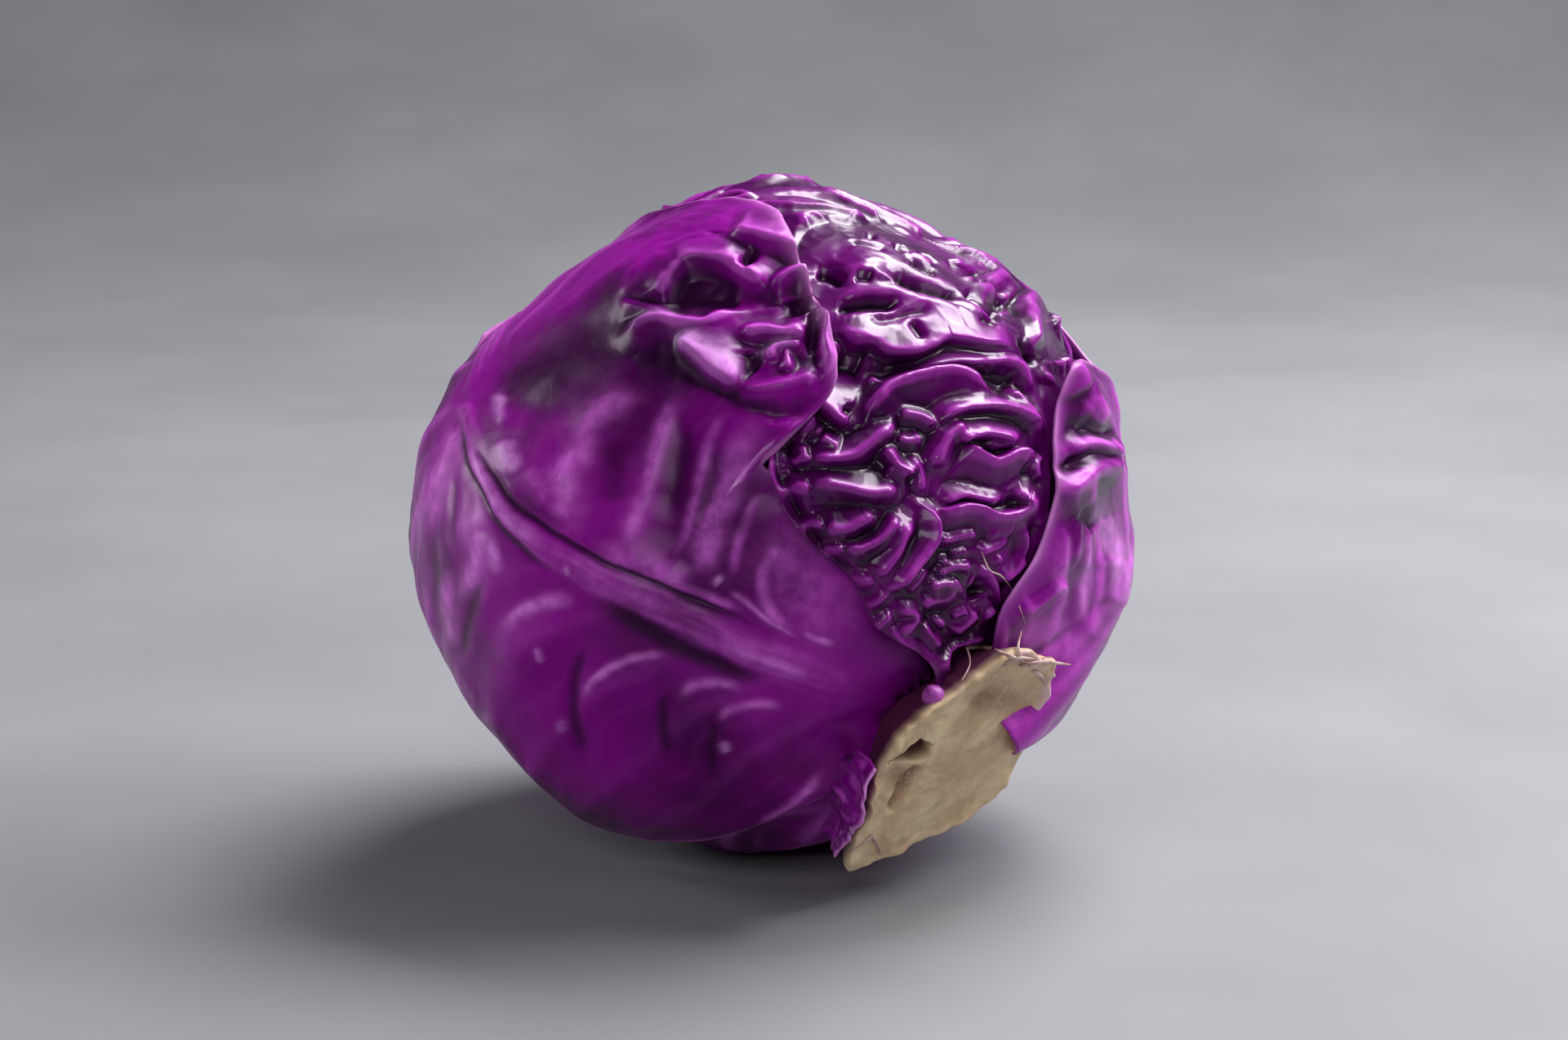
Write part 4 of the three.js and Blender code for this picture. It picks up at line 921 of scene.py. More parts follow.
foldsLobe = [
    [3.8, 4.6, 1.3, -0.6, [(-20, 35.6), (-16.2, 31.9), (-11.5, 28.2), (-5.8, 25.2)]],
    [1.7, 1.2, 2.2, -0.3, [(-8, 25.6), (-5.8, 24.8), (-1.1, 24.4), (4.4, 26), (8.6, 27.2)]],
    [2.9, 1.7, 3.2, 0.3, [(-33, 36.8), (-28.5, 37.9), (-23.6, 39), (-18.1, 37.9), (-13.9, 37.6),
        (-11, 39.6), (-7.1, 40.4), (-4.5, 41)]],
    [1.6, 1.1, 1.3, 0, [(-33, 43.6), (-28.5, 42.4), (-25.8, 41.5), (-23, 40.6), (-21.4, 39.5)]],
    [-1.6, 3.6, 3.2, 0, [(-23, 42.8), (-18, 43.8), (-12, 44.4), (-6, 44.2)]],
    [2.5, 3.2, 1.2, -0.7, [(-27.2, 44.4), (-23, 45.6), (-20.9, 47.8), (-17.6, 50.2), (-13.2, 50.8),
        (-9.3, 50.5), (-6.6, 49.1), (-2.2, 46.4), (-1, 45.3)]],
    [-2.4, 1.7, 1.6, 0, [(-6, 51.6), (-3.8, 49.6)]],
    [3.2, 4.5, 1.2, -0.9, [(-9.3, 55.9), (-3.3, 54.5), (1.5, 53.3), (4, 51.6), (8, 50), (10.5, 48.4)]],
    [2.5, 1.1, 1.4, 0, [(-1.1, 45.3), (1.7, 46.6), (4.4, 47.2), (7.1, 46.8), (10.4, 46.6)]],
    [-3.2, 2.2, 2.2, 0, [(4.6, 43.4), (4.8, 39.6)]],
    [2.9, 1.5, 1.7, -0.4, [(-7.1, 35.7), (-3.8, 36.8), (-1.1, 36.8), (1.7, 36), (5.8, 37.2)]],
    [2.5, 1.3, 1.4, 0, [(1.5, 35.4), (5.9, 35.2)]],
    [-1.8, 2.2, 2.2, 0, [(-5.2, 32.6), (-5, 29.4), (-3.4, 27.8)]],
    [2.3, 1.1, 1.3, 0.3, [(-1.8, 29.8), (0.1, 32.5), (3, 33), (5.4, 32.6)]],
    [1.9, 0.9, 0.9, 0, [(2, 32.4), (2.2, 27.6)]],
    [3.2, 1.0, 1.0, 0, [(10.9, 44.6), (10, 40.6), (10.2, 37.9), (9.9, 36.2), (9.6, 32.4), (10.4, 29.6),
        (9.6, 26.1)]],
    [-2.4, 1.0, 1.0, 0, [(7.6, 41), (7.6, 36), (7.6, 30.5)]],
    [0.9, 1.1, 1.1, 0, [(-24, 53), (-17, 55.2), (-12, 55.9)]],
    [0.9, 1.0, 1.0, 0, [(-22, 50.6), (-15, 53.4), (-10, 55)]],
    [1.3, 3.2, 3.2, 0, [(-36, 42), (-29, 47.5), (-20, 52.5)]],
]
foldsRight = [
    [2.3, 1.4, 1.6, -0.6, [(56.2, 12.2), (58.5, 13.3), (61, 13.6), (64.2, 12), (66, 10.5)]],
    [3.0, 1.8, 2.6, -0.4, [(54.6, 3.4), (57, 5), (58.6, 6.4), (60.2, 8.4), (62.9, 9.4), (66, 8.4)]],
    [2.6, 1.8, 1.8, 0, [(57.5, 24.5), (59, 21.5), (60.5, 18.4), (62.5, 16.5)]],
    [2.8, 2.0, 2.2, 0, [(54, 28), (56, 25.5), (57.5, 22.5)]],
    [0.9, 0.9, 0.9, 0, [(56.1, -2.5), (55.9, -11.7)]],
    [1.1, 1.0, 1.0, 0, [(58.7, -0.8), (58.5, -10)]],
    [0.9, 1.1, 1.1, 0, [(61.1, -2), (60.7, -12)]],
    [1.4, 0.9, 1.1, 0, [(48.9, -20.9), (51.5, -18.7), (54.6, -16.1), (56.4, -14.9), (57.3, -17.4)]],
    [1.0, 1.8, 1.8, 0, [(64.8, -8), (64.4, -13), (64, -18)]],
    [0.7, 1.1, 1.1, 0, [(60.2, -13.9), (60.7, -24.9)]],
    [-1.8, 1.8, 1.4, 0, [(57.5, 16.5), (61, 16.2), (65, 14.8)]],
    [-1.8, 1.5, 1.5, 0, [(57.2, 10.5), (58, 8)]],
    [-1.3, 3.2, 3.2, 0, [(60.5, 1), (63.5, -3)]],
]
# The front leaf's midrib, and lines of the smooth leaves, also in millimetres on the front view:
# [height, pale share, highlight share, half width, places]. Pale shares are partly pale veins and partly
# painted highlights, highlight shares are painted highlights, and lines below zero sink and are painted
# darker as shade.
ribFront = [(-61, 20), (-59.2, 14.9), (-57, 8.4), (-53.4, 1.6), (-48.6, -4), (-42.6, -8.4), (-36, -12.6),
    (-29, -17), (-21.6, -20.8), (-13, -25), (-4, -29), (4.6, -32.6), (12, -35)]
linesFront = [
    [-0.55, 0, 0, 0.75, [(-59.4, 20), (-58.4, 15), (-56.7, 11), (-54, 6.3), (-50.8, 2.3), (-46.3, -1.7),
        (-41.6, -4.8), (-37.5, -7.8), (-33.5, -10.1), (-28.1, -12.5), (-22.8, -14.8), (-17.4, -17.5),
        (-12, -19.9), (-6.7, -22.2), (-1.3, -24.6), (2.7, -26.6)]],
    [-0.5, 0, 0, 0.9, [(-62, 20.5), (-61, 16.4), (-59.4, 9.7), (-56.7, 3), (-53.3, -2.4), (-49, -7.1),
        (-44.9, -10.5), (-41, -13.8)]],
    [-0.5, 0, 0, 2.4, [(-38, -16), (-32.2, -19.6), (-28.1, -22.4), (-22.8, -25.6), (-17.4, -28.4),
        (-11.4, -31), (-5.3, -33.6), (2, -36.4)]],
    [-0.3, 0, 0, 2.2, [(-50.4, 5), (-47, 1.4), (-43, -1.6), (-39.6, -3.4)]],
    [0.45, 0.9, 0.35, 1.1, [(-58.4, 14.4), (-57, 9), (-55, 4.3), (-52, 0.3), (-48.3, -3.8), (-44, -7.4)]],
    [0.2, 0.45, 0, 1.6, [(-42, -7), (-35.6, -11), (-30, -15.2), (-24.1, -18.5), (-18.8, -20.8)]],
    [0.5, 0.8, 0.3, 1.2, [(-12, -25.2), (-9.4, -26.6), (-5.3, -28.6), (-1.3, -30.6), (2.7, -32.3),
        (8, -34.2)]],
    [0.3, 0.9, 0.1, 2.4, [(-39.6, -4.4), (-41.6, 3.6), (-41.9, 7.7), (-39.6, 13), (-38.2, 18.4),
        (-33.5, 23.1), (-26.8, 25.8)]],
    [0.4, 0.8, 0.4, 0.7, [(-41.2, 1.4), (-41.9, 5), (-42, 8.6)]],
    [0.3, 0.9, 0.05, 1.7, [(-30.8, -8.6), (-28.8, -1.7), (-26.8, 5), (-24.8, 13), (-22.8, 19.7),
        (-20.1, 25.1)]],
    [0.25, 0.75, 0, 1.2, [(-21.4, -9.8), (-18.8, -4.4), (-16.7, 2.3), (-14.7, 11), (-12, 17),
        (-9.4, 20.4)]],
    [0.35, 0.85, 0.12, 2.9, [(-16, -13), (-14.7, -7.1), (-12, -0.4), (-8.7, 7), (-4.6, 13.7),
        (-0.6, 15.7)]],
    [0.2, 0.7, 0, 1.1, [(-9.4, -13.8), (-8, -7.1), (-5.3, 1), (-2.6, 6.3)]],
    [0.3, 0.8, 0.05, 1.6, [(4.1, -25.9), (-1.3, -19.9), (-2.6, -13.8), (0, -8.4), (4.1, -5.1)]],
    [0.3, 0.9, 0.25, 0.6, [(-9.4, -16.6), (-6, -18.8), (-1.3, -22.5), (5.4, -26.6)]],
    [0.3, 0.9, 0.25, 0.8, [(5.6, -24.8), (9, -26.2), (12.8, -27.6)]],
    [0.2, 0.7, 0, 1.0, [(-24, -13.4), (-18, -15.6), (-12.4, -18), (-6, -20.6)]],
    [0.2, 0.8, 0, 3.4, [(-36, -7), (-30, -9.6), (-23, -12.4), (-16, -14.6)]],
    [0.2, 0.6, 0.6, 1.0, [(-12.9, -13.2), (-11.4, -14.6)]],
    [0.3, 0.6, 0.7, 0.45, [(-41, -10.6), (-40.7, -12.6)]],
    [0.4, 0.8, 0.75, 1.7, [(-53.6, 14.6), (-52.6, 11), (-51.4, 7.4)]],
    [0.3, 0.7, 0.55, 0.9, [(-56, 24.6), (-55.7, 21.8), (-54.8, 18)]],
    [0.2, 0.6, 0, 2.2, [(-49, 9), (-46.4, 4.6), (-43, 1.6)]],
    [1.0, 0, 0, 4.6, [(-52, -30), (-48, -25.4), (-43, -23), (-37.6, -23.4)]],
    [0.5, 0.95, 0.3, 1.3, [(-51.6, -22.5), (-49, -19.2), (-45.6, -17.5), (-41.6, -17.2), (-38.9, -17.8)]],
    [1.0, 0, 0, 3.8, [(-36, -39), (-31.6, -35), (-26, -33.6), (-20, -33.6)]],
    [0.6, 0.9, 0.35, 0.8, [(-37.4, -36.2), (-35.5, -33), (-32.2, -30.3), (-28.1, -28.9), (-21.4, -28.3)]],
    [0.8, 0, 0, 3.0, [(-19.6, -41.4), (-15, -39.4), (-10, -39.4)]],
    [0.5, 0.85, 0.25, 0.9, [(-19.8, -37.4), (-17.6, -35.5), (-14.7, -34.9), (-10.7, -34.9),
        (-6.7, -36.3)]],
    [0.8, 0, 0, 3.0, [(-11.6, -46), (-7, -44.6), (-2, -45)]],
    [0.5, 0.8, 0.2, 0.9, [(-11.6, -42.6), (-9.6, -40.7), (-6.7, -40), (-2.6, -40), (1.4, -41.3)]],
    [-0.4, 0, 0, 1.6, [(-38, -25), (-39.6, -33), (-39, -42), (-36, -50)]],
    [-0.4, 0, 0, 1.6, [(-23, -36), (-22.6, -42), (-21, -50)]],
    [-0.35, 0, 0, 1.4, [(-12.4, -41.6), (-13, -48), (-12.4, -55)]],
    [0.3, 0.7, 0.3, 0.5, [(-45.6, -25.8), (-45.2, -29.2)]],
    [0.3, 0.5, 0.6, 0.9, [(-11, -47), (-10, -49.4)]],
    [0.2, 0.5, 0.4, 0.8, [(-41.8, -40.4), (-41.4, -43)]],
    [-0.5, 0, 0, 10, [(-54, 18), (-47, 30), (-36, 39), (-22, 47)]],
    [-0.35, 0, 0, 4.2, [(-34, 16), (-33.4, 8), (-33, 0)]],
    [-0.35, 0, 0, 3, [(-17.6, 20), (-20.6, 9), (-23, -2)]],
    [-0.3, 0, 0, 2.2, [(-11, 14), (-13.6, 6), (-16.4, -3)]],
    [-0.25, 0, 0, 2, [(-3, 8), (-5.8, 1), (-8.6, -8)]],
    [0, 0.42, 0, 7.5, [(-2, -2), (3, -10), (9, -19), (18, -27)]],
    [0, 0.7, 0.75, 1.9, [(-20, 36.6), (-16, 33.8), (-11, 30.2), (-6.5, 27)]],
    [0, 0.5, 0.5, 1.2, [(-3.4, 31), (0, 33.4), (4, 33.4)]],
    [0, 0.7, 0.3, 1.2, [(-30, 38.4), (-24, 40), (-18, 39)]],
    [-0.35, 0, 0, 4.2, [(-24, 43), (-16, 44.6), (-7, 44.4)]],
    [-0.4, 0, 0, 3.4, [(-10, 24), (-3, 23), (4, 24.6), (10, 28)]],
    [-0.35, 0, 0, 3.4, [(-4, 47), (2, 44), (7, 38), (7.4, 31)]],
    [-0.3, 0, 0, 6, [(-32, 31), (-24, 30), (-14, 23)]],
    [0.3, 0.9, 0.3, 0.6, [(-39.1, -56.7), (-35, -58.6), (-30.6, -59.9)]],
    [0.3, 0.8, 0.2, 0.5, [(-2.6, -59.9), (3.6, -56.4), (9.7, -52.1)]],
]
linesLeft = [
    [0.2, 0.7, 0.5, 0.8, [(-66.9, 3), (-67.2, -2), (-67.6, -9.8)]],
    [0.3, 0.9, 0.1, 1.8, [(-61.6, 18), (-62.6, 12), (-64.4, 5), (-65.4, -4.4)]],
    [0.3, 0.9, 0.25, 2.0, [(-58.8, 2), (-57.6, -4), (-57, -9.8), (-60, -17.9)]],
    [0.3, 0.9, 0.4, 1.3, [(-56.4, -4), (-55, -7.1), (-53, -12.5)]],
    [-0.4, 0, 0, 1.2, [(-55.7, -11.1), (-58.4, -20.5), (-59.7, -29.3)]],
    [-0.3, 0, 0, 0.9, [(-64, -2), (-64.4, -7.1), (-63.7, -17.9), (-61, -27.2)]],
    [-0.3, 0, 0, 0.8, [(-61.4, 8), (-61.6, 0), (-61, -8)]],
    [0.2, 0.8, 0.1, 1.4, [(-61, -26), (-62, -17.9), (-62.4, -10)]],
    [0.2, 0.8, 0.7, 0.8, [(-55.6, -38), (-54.2, -39.8)]],
    [0.2, 0.7, 0.4, 0.8, [(-50.8, -46), (-49.6, -48)]],
]

linesRight = [
    [-0.4, 0, 0, 4.6, [(60, 20), (62, 8), (62.4, 0), (60.6, -8)]],
    [-0.4, 0, 0, 3.0, [(56.4, 26), (58, 18), (57.8, 8)]],
    [0.4, 0.9, 0.55, 1.3, [(63, 5), (65.2, -4), (66.2, -12), (64.6, -22)]],
    [0.3, 0.8, 0.3, 1.0, [(60.6, -4), (61.4, -13), (60, -22)]],
    [0.3, 0.8, 0.35, 0.8, [(57, 4.6), (60, 7.6), (64, 8.6)]],
    [0.3, 0.8, 0.35, 0.8, [(56.8, 13), (60, 14), (63.6, 12.4)]],
    [0, 0.7, 0.1, 4.0, [(50, -24), (55, -25), (60, -22)]],
    [0, 0.6, 0, 3.0, [(67, 10), (68.4, 2), (68.6, -6)]],
    [0.2, 0.7, 0.3, 0.8, [(54.4, -15.6), (56.2, -14.8), (56.8, -16.8)]],
]

trees = []


# Places on the front view, bent a little so that nothing drawn on it looks ruled
def bentPlaces(g, seed):
    bent = []
    for n, place in enumerate((g["a"], g["b"])):
        broad = 0.5 * noise(g["p"], 9, seed + 4.1 * n)
        bent.append(place + broad + 0.08 * noise(g["p"], 2.6, seed + 2 + 4.1 * n))
    return bent


# Relief, pale, painted highlight and painted shade shares of drawn lines; the pale share is partly pale
# veins and partly painted highlight
def drawnLines(lines, g, a, b):
    relief, pale, bloom, paintedShade = (np.zeros(a.shape) for _ in range(4))
    broken = 0.8 + 0.45 * noise(g["p"], 4, 1.9)
    for height, paleShare, highlightShare, width, points in lines:
        away, share, _ = lineField(points, a, b, width * 2.4)
        ends = fade(share, -0.05, 0.22) * (1 - fade(share, 0.72, 1.03))
        soft = ends * np.exp(-(away / width) ** 2) * (np.abs(away) < width * 2.4)
        relief += height * soft
        pale = np.maximum(pale, paleShare * soft * broken)
        bloom = np.maximum(bloom, highlightShare * soft * broken)
        # Lines that sink are painted darker as shade.
        if height < 0:
            paintedShade = np.maximum(paintedShade, np.minimum(1, -1.8 * height) * soft)
    return relief, pale, bloom, paintedShade


def smoothLeaf(leaf, folds=(), lines=()):
    g = leafGrid(leaf)
    base = cadBase(leaf, g, (0.011, 0.016))
    relief, rib, vein, groove = veining(leaf, g)
    outer = base + relief + marginLift(leaf, g)
    lean = None
    # The crest mark below paints shade along the midrib's grooves; drawn lines add pale veins with painted
    # highlights and painted shade where they sink, and folds add painted highlight on crests and painted
    # shade in hollows.
    crest = 0.5 - 0.2 * groove
    bloom = np.zeros(outer.shape)
    if lines:
        onView = g["front"] * fade(g["dirs"] @ nearWay, 0.0, 0.2)
        traced, pale, bloom, paintedShade = (onView * field for field in drawnLines(lines, g, *bentPlaces(g, 2.2)))
        relief = relief + traced
        outer = outer + traced
        vein = np.maximum(vein, pale)
        crest = crest - 0.38 * paintedShade
    if folds:
        inView = g["front"] * fade(g["dirs"] @ nearWay, 0.0, 0.2) * fade(g["a"], 44, 50)
        top, push = foldField(folds, *bentPlaces(g, 3.1))
        outer = outer * (1 - inView) + inView * (blur(base, 7, 7) + 0.6 * relief + top)
        lean = leanMove(push, g["dirs"], inView * fade(g["toMargin"], 0.5, 3))
        crest = crest + shadeAndHighlightMark(outer, inView) - 0.5
    if trees:
        outer = softMax(outer, clearance(trees, g["dirs"]) + bladeGap + bladeThickness(g))
    marks = {"Rib": rib, "Vein": vein, "Edge": edgeMark(g, leaf), "Crest": crest, "PaintedHighlight": bloom}
    bladeObject(leaf, g["dirs"], outer, bladeThickness(g), marks, lean)
    trees.append(gridTree(g["dirs"], outer, lean))
    print(leaf["name"], "made")


smoothLeaf(leafBack)
smoothLeaf(leafBottom)
smoothLeaf(leafLeft, lines=linesLeft)

# The front leaf: smooth below, with a crumpled lobe at the top that the crinkled leaf passes under
front = leafGrid(leafFront)
base = cadBase(leafFront, front, (0.008, 0.011))
relief, rib, vein, groove = veining(leafFront, front)
warpA, warpB = bentPlaces(front, 2.2)
facing = front["dirs"] @ nearWay
inView = front["front"] * fade(facing, 0.1, 0.35)
# Drawn lines: pale veins together with painted highlights, and painted shade where the lines sink.
fields = drawnLines(linesFront + linesLeft, front, warpA, warpB)
traced, pale, bloom, paintedShade = (inView * field for field in fields)
away, share, _ = lineField(ribFront, warpA, warpB, 12)
fibre = noise(np.stack([away, share * 9, 0 * away], -1), 1.1, 3.7)
ribBody = np.exp(-(away / (1.5 + 2.9 * share)) ** 4) * (1 - 0.6 * fade(share, 0.85, 1))
plain = unevenness(leafFront, front)
relief = relief * (1 - inView) + inView * (plain + (0.55 + 0.12 * fibre) * ribBody)
rib = rib * (1 - inView) + inView * ribBody * np.clip(0.5 + 0.5 * fibre, 0, 1)
groove = groove * (1 - inView)
vein = vein * (1 - 0.9 * inView) + pale
lobeLine = 15.5 + 0.5 * np.maximum(0, -front["a"])
crumpled = front["front"] * fade(facing, 0.0, 0.2) * fade(front["a"], -38, -27)
crumpled = crumpled * fade(front["b"] - lobeLine, 0, 4) * fade(front["nominal"], 50, 60)
lobe, push = foldField(foldsLobe, warpA, warpB)
lobe = lobe + 0.3 * np.abs(noise(front["p"], 5, 4.4)) ** 0.8
leanFront = leanMove(push, front["dirs"], crumpled * fade(front["toMargin"], 0.3, 2.5))
lowered = blur(base, 7, 7) - 1.0
smoothOuter = base + relief + traced + marginLift(leafFront, front)
frontOuter = smoothOuter * (1 - crumpled) + (lowered + lobe) * crumpled
frontLength = leafFront["end"] - leafFront["start"]
lobeRow = int(round((lobeStart - leafFront["start"]) / frontLength * leafFront["rows"]))
frontOuter = softMax(frontOuter, clearance(trees, front["dirs"]) + bladeGap + bladeThickness(front))
lowerTree = gridTree(front["dirs"], frontOuter, leanFront, lobeRow)
print("front leaf shaped")

# The crinkled leaf: packed folds with leaning crests and creases between them; its crests are painted paler
# as highlight and its creases near black as painted shade
crinkled = leafGrid(leafCrinkled)
base = cadBase(leafCrinkled, crinkled, (0.008, 0.011))
softBase = blur(base, 9, 9)
p = crinkled["p"]
crinkledFolds = foldsHeart + foldsRim + foldsNeck + foldsCheek + foldsCrown
drawn, push = foldField(crinkledFolds, *bentPlaces(crinkled, 1.3))
pleatWay = unit(0.93 * rightWay - 0.36 * upWay)
pleatUp = unit(upWay - pleatWay * (upWay @ pleatWay))
stretched = np.stack([p @ pleatWay * 0.2, p @ pleatUp, p @ nearWay], -1)
stretched = stretched + 2.5 * np.stack([noise(p, 16, 2.7), noise(p, 16, 3.9), noise(p, 16, 4.8)], -1)
pleats = 2.6 * (1 - np.abs(noise(stretched, 8, 1.1))) ** 2.5 + 0.7 * np.abs(noise(stretched, 4, 6.6)) ** 0.8
small = (1 - np.abs(noise(p, 4.2, 3.2))) ** 3
inView = (1 - fade(np.hypot(crinkled["a"] - 22, crinkled["b"] - 16), 44, 56)) * crinkled["front"]
covered = inView * np.clip(2 * blur((np.abs(drawn) > 0.25).astype(float), 3, 3) - 0.4, 0, 1)
folds = covered * drawn + (1 - covered) * pleats + 0.14 * small
start = fade(crinkled["v"], 0, 0.1)
pressed = 1.0 - (np.nan_to_num(radiiOf(cadTrees["leaf_right"], crinkled["dirs"][::3, ::3]), nan=0.0) > 0)
pressed = np.clip(refine(blur(pressed, 0.8, 0.8), base.shape[0], base.shape[1]), 0.12, 1)
crinkledOuter = softBase + start * pressed * (folds - 1.4)
crinkledOuter = crinkledOuter + marginLift(leafCrinkled, crinkled) * pressed
thick = bladeThickness(crinkled, 0.9, 0.45)
crinkledOuter = softMax(crinkledOuter, clearance(trees + [lowerTree], crinkled["dirs"]) + bladeGap + thick)
leanShare = covered * pressed * start * fade(crinkled["toMargin"], 0.3, 2)
leanCrinkled = leanMove(push, crinkled["dirs"], leanShare)
# Painted highlight on the crinkled leaf's crests and near-black painted shade in its creases.
marks = marksOf(base.shape, Edge=edgeMark(crinkled, leafCrinkled), Crest=shadeAndHighlightMark(crinkledOuter))
bladeObject(leafCrinkled, crinkled["dirs"], crinkledOuter, thick, marks, leanCrinkled)
crinkledTree = gridTree(crinkled["dirs"], crinkledOuter, leanCrinkled)
print("crinkled leaf made")

# The front leaf's lobe is laid over the crinkled leaf.
over = clearance([crinkledTree], front["dirs"]) + bladeGap + bladeThickness(front)
rise = softMax(frontOuter, over) - frontOuter
widened = 5 * fade(front["u"], -0.85, -0.55)
onLobe = fade((front["nominal"] - lobeStart + widened) / (2 + 2 * widened), 0, 1)
frontOuter = frontOuter + onLobe * np.maximum(rise, blur(rise, 5, 4))
smoothShare = 1 - crumpled
# Painted shade along the rib's grooves and the sunk lines, painted highlight and shade on the lobe's
# crumples, and painted highlights where the highlight strokes are.
marks = {
    "Rib": rib * smoothShare,
    "Vein": vein * (1 - 0.7 * crumpled),
    "Edge": edgeMark(front, leafFront),
    "Crest": shadeAndHighlightMark(frontOuter, crumpled) - 0.2 * groove * smoothShare - 0.38 * paintedShade,
    "PaintedHighlight": bloom,
}
bladeObject(leafFront, front["dirs"], frontOuter, bladeThickness(front), marks, leanFront)
trees += [gridTree(front["dirs"], frontOuter, leanFront), crinkledTree]
print("front leaf made")
smoothLeaf(leafRight, foldsRight, linesRight)

# The inner head, which shows only in narrow gaps
innerHead = {"nodes": ["inner_head"], "slot": "packed_heart"}
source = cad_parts["inner_head"].data
points = np.array([v.co[:] for v in source.vertices]) / metre
faces = [tuple(f.vertices) for f in source.polygons]
makeMesh("inner_head_heart", points, faces, marksOf(len(points)), innerHead, materials["smooth"])

# The stump: a fibrous cut face with a rough rim, and its flared side down into the leaf bases
stump = {"nodes": ["stalk"], "slot": "cut_stalk"}
longWay = unit(upWay + rightWay)
longWay = unit(longWay - cutFace * (longWay @ cutFace))
shortWay = np.cross(cutFace, longWay)
rimShape = [(0, 26.6), (28.6, 25.3), (59.5, 20.2), (97, 20.4), (116, 19.8), (153.5, 19.6), (180, 27.4),
    (197.5, 22.4), (231, 18.6), (278, 20.2), (319, 18.2), (344.5, 22.6), (360, 26.6)]
stalkPoints = np.array([v.co[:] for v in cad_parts["stalk"].data.vertices]) / metre
cutLevel = np.percentile((stalkPoints - headMiddle) @ cutFace, 88)
cutMiddle = headMiddle + stem * (cutLevel / (stem @ cutFace))


def stumpPoint(turn, share, above):
    reach = reading(rimShape, np.mod(turn, 360)) * share
    t = np.radians(turn)
    flat = reach[..., None] * (np.cos(t)[..., None] * longWay + np.sin(t)[..., None] * shortWay)
    return cutMiddle + flat + above[..., None] * cutFace


sides = 240
levels = [(0.34, -34.0), (0.56, -17.0), (0.72, -10.0), (0.88, -5.5), (0.95, -3.2), (1.0, -1.6),
    (1.005, -0.7)]
faceRings = 70
shares = [s for s, _ in levels] + list(1.0 - np.linspace(0, 1, faceRings) * 0.995)
depths = [d for _, d in levels] + [0.0] * faceRings
share, turn = np.meshgrid(np.array(shares), np.arange(sides) * 360 / sides, indexing="ij")
depth = np.repeat(np.array(depths)[:, None], sides, axis=1)
flat = stumpPoint(turn, share, depth)
onFace = (depth == 0).astype(float)


# Where a point shows on the front view, in the millimetres of the folds
def seenPlace(points):
    away = points - headMiddle
    scale = viewDistance / (viewDistance - away @ nearWay)
    return away @ rightWay * scale, away @ upWay * scale


seenRight, seenUp = seenPlace(flat)
tearAway, tearShare, _ = lineField([(22.6, -48.7), (26.5, -47.6), (30.8, -45.4)], seenRight, seenUp, 4)
tearWide = 0.25 + 1.5 * fade(tearShare, 0.1, 0.75) * (1 - fade(tearShare, 0.85, 1.0))
tear = onFace * (1 - fade(np.abs(tearAway), 0.6 * tearWide, 1.2 * tearWide))
slitAway, slitShare, _ = lineField([(22.8, -57.6), (25.2, -54), (28, -50.5)], seenRight, seenUp, 3)
slit = onFace * np.exp(-(slitAway / 0.8) ** 2)
brown = 0.9 * np.exp(-((seenRight - 45) / 5.5) ** 2 - ((seenUp + 36.5) / 4.5) ** 2)
brown = brown + 0.7 * np.exp(-((seenRight - 40) / 2.5) ** 2 - ((seenUp + 37) / 2) ** 2)
brown = brown + 0.9 * np.exp(-((seenRight - 25) / 2.4) ** 2 - ((seenUp + 52) / 2.8) ** 2) + 0.8 * slit
rim = fade(share, 0.86, 1.0) * onFace
lip = rim * fade(seenRight, 44, 50) * fade(seenUp, -50, -42) * fade(noise(flat, 3, 2.5), -0.4, 0.2)
across = np.stack([(flat - cutMiddle) @ longWay * 0.3, (flat - cutMiddle) @ shortWay, depth], -1)
fibrous = 0.5 * noise(across, 2.2, 3.1) + 0.3 * noise(flat, 1.6, 5.1) + 0.9 * noise(flat, 9, 7.7)
above = onFace * (0.45 * fibrous - 0.5 + 0.9 * rim * (0.4 + noise(flat, 4, 1.9)) + 0.9 * lip)
above = above - 0.8 * brown * onFace - 2.6 * tear - 0.7 * slit
circle = np.stack([np.cos(np.radians(turn)) * 10, np.sin(np.radians(turn)) * 10, depth * 0.2], -1)
ragged = 1 + 0.045 * noise(circle, 3.2, 1.4) + 0.03 * noise(circle, 1.2, 6.4)
positions = stumpPoint(turn, share * np.where(share > 0.5, ragged, 1), depth + above)
index = np.arange(positions.shape[0] * sides).reshape(-1, sides)
after = np.roll(index, -1, axis=1)
faces = np.stack([index[:-1], after[:-1], after[1:], index[1:]], -1).reshape(-1, 4).tolist()
faces = [tuple(f) for f in faces] + [tuple(index[-1].tolist())] + [tuple(index[0, ::-1].tolist())]
# The side mark lays painted shade on the stump's side, growing below the cut face.
marks = {"Brown": np.clip(brown, 0, 1), "Tear": tear, "Lip": np.clip(lip, 0, 1),
         "Side": (1 - onFace) * fade(-depth, 0.5, 2.4)}
makeMesh("stalk_stump", positions.reshape(-1, 3), faces, marks, stump, materials["stump"])
trees.append(surfaceTree(positions.reshape(-1, 3), faces))
print("stump made")

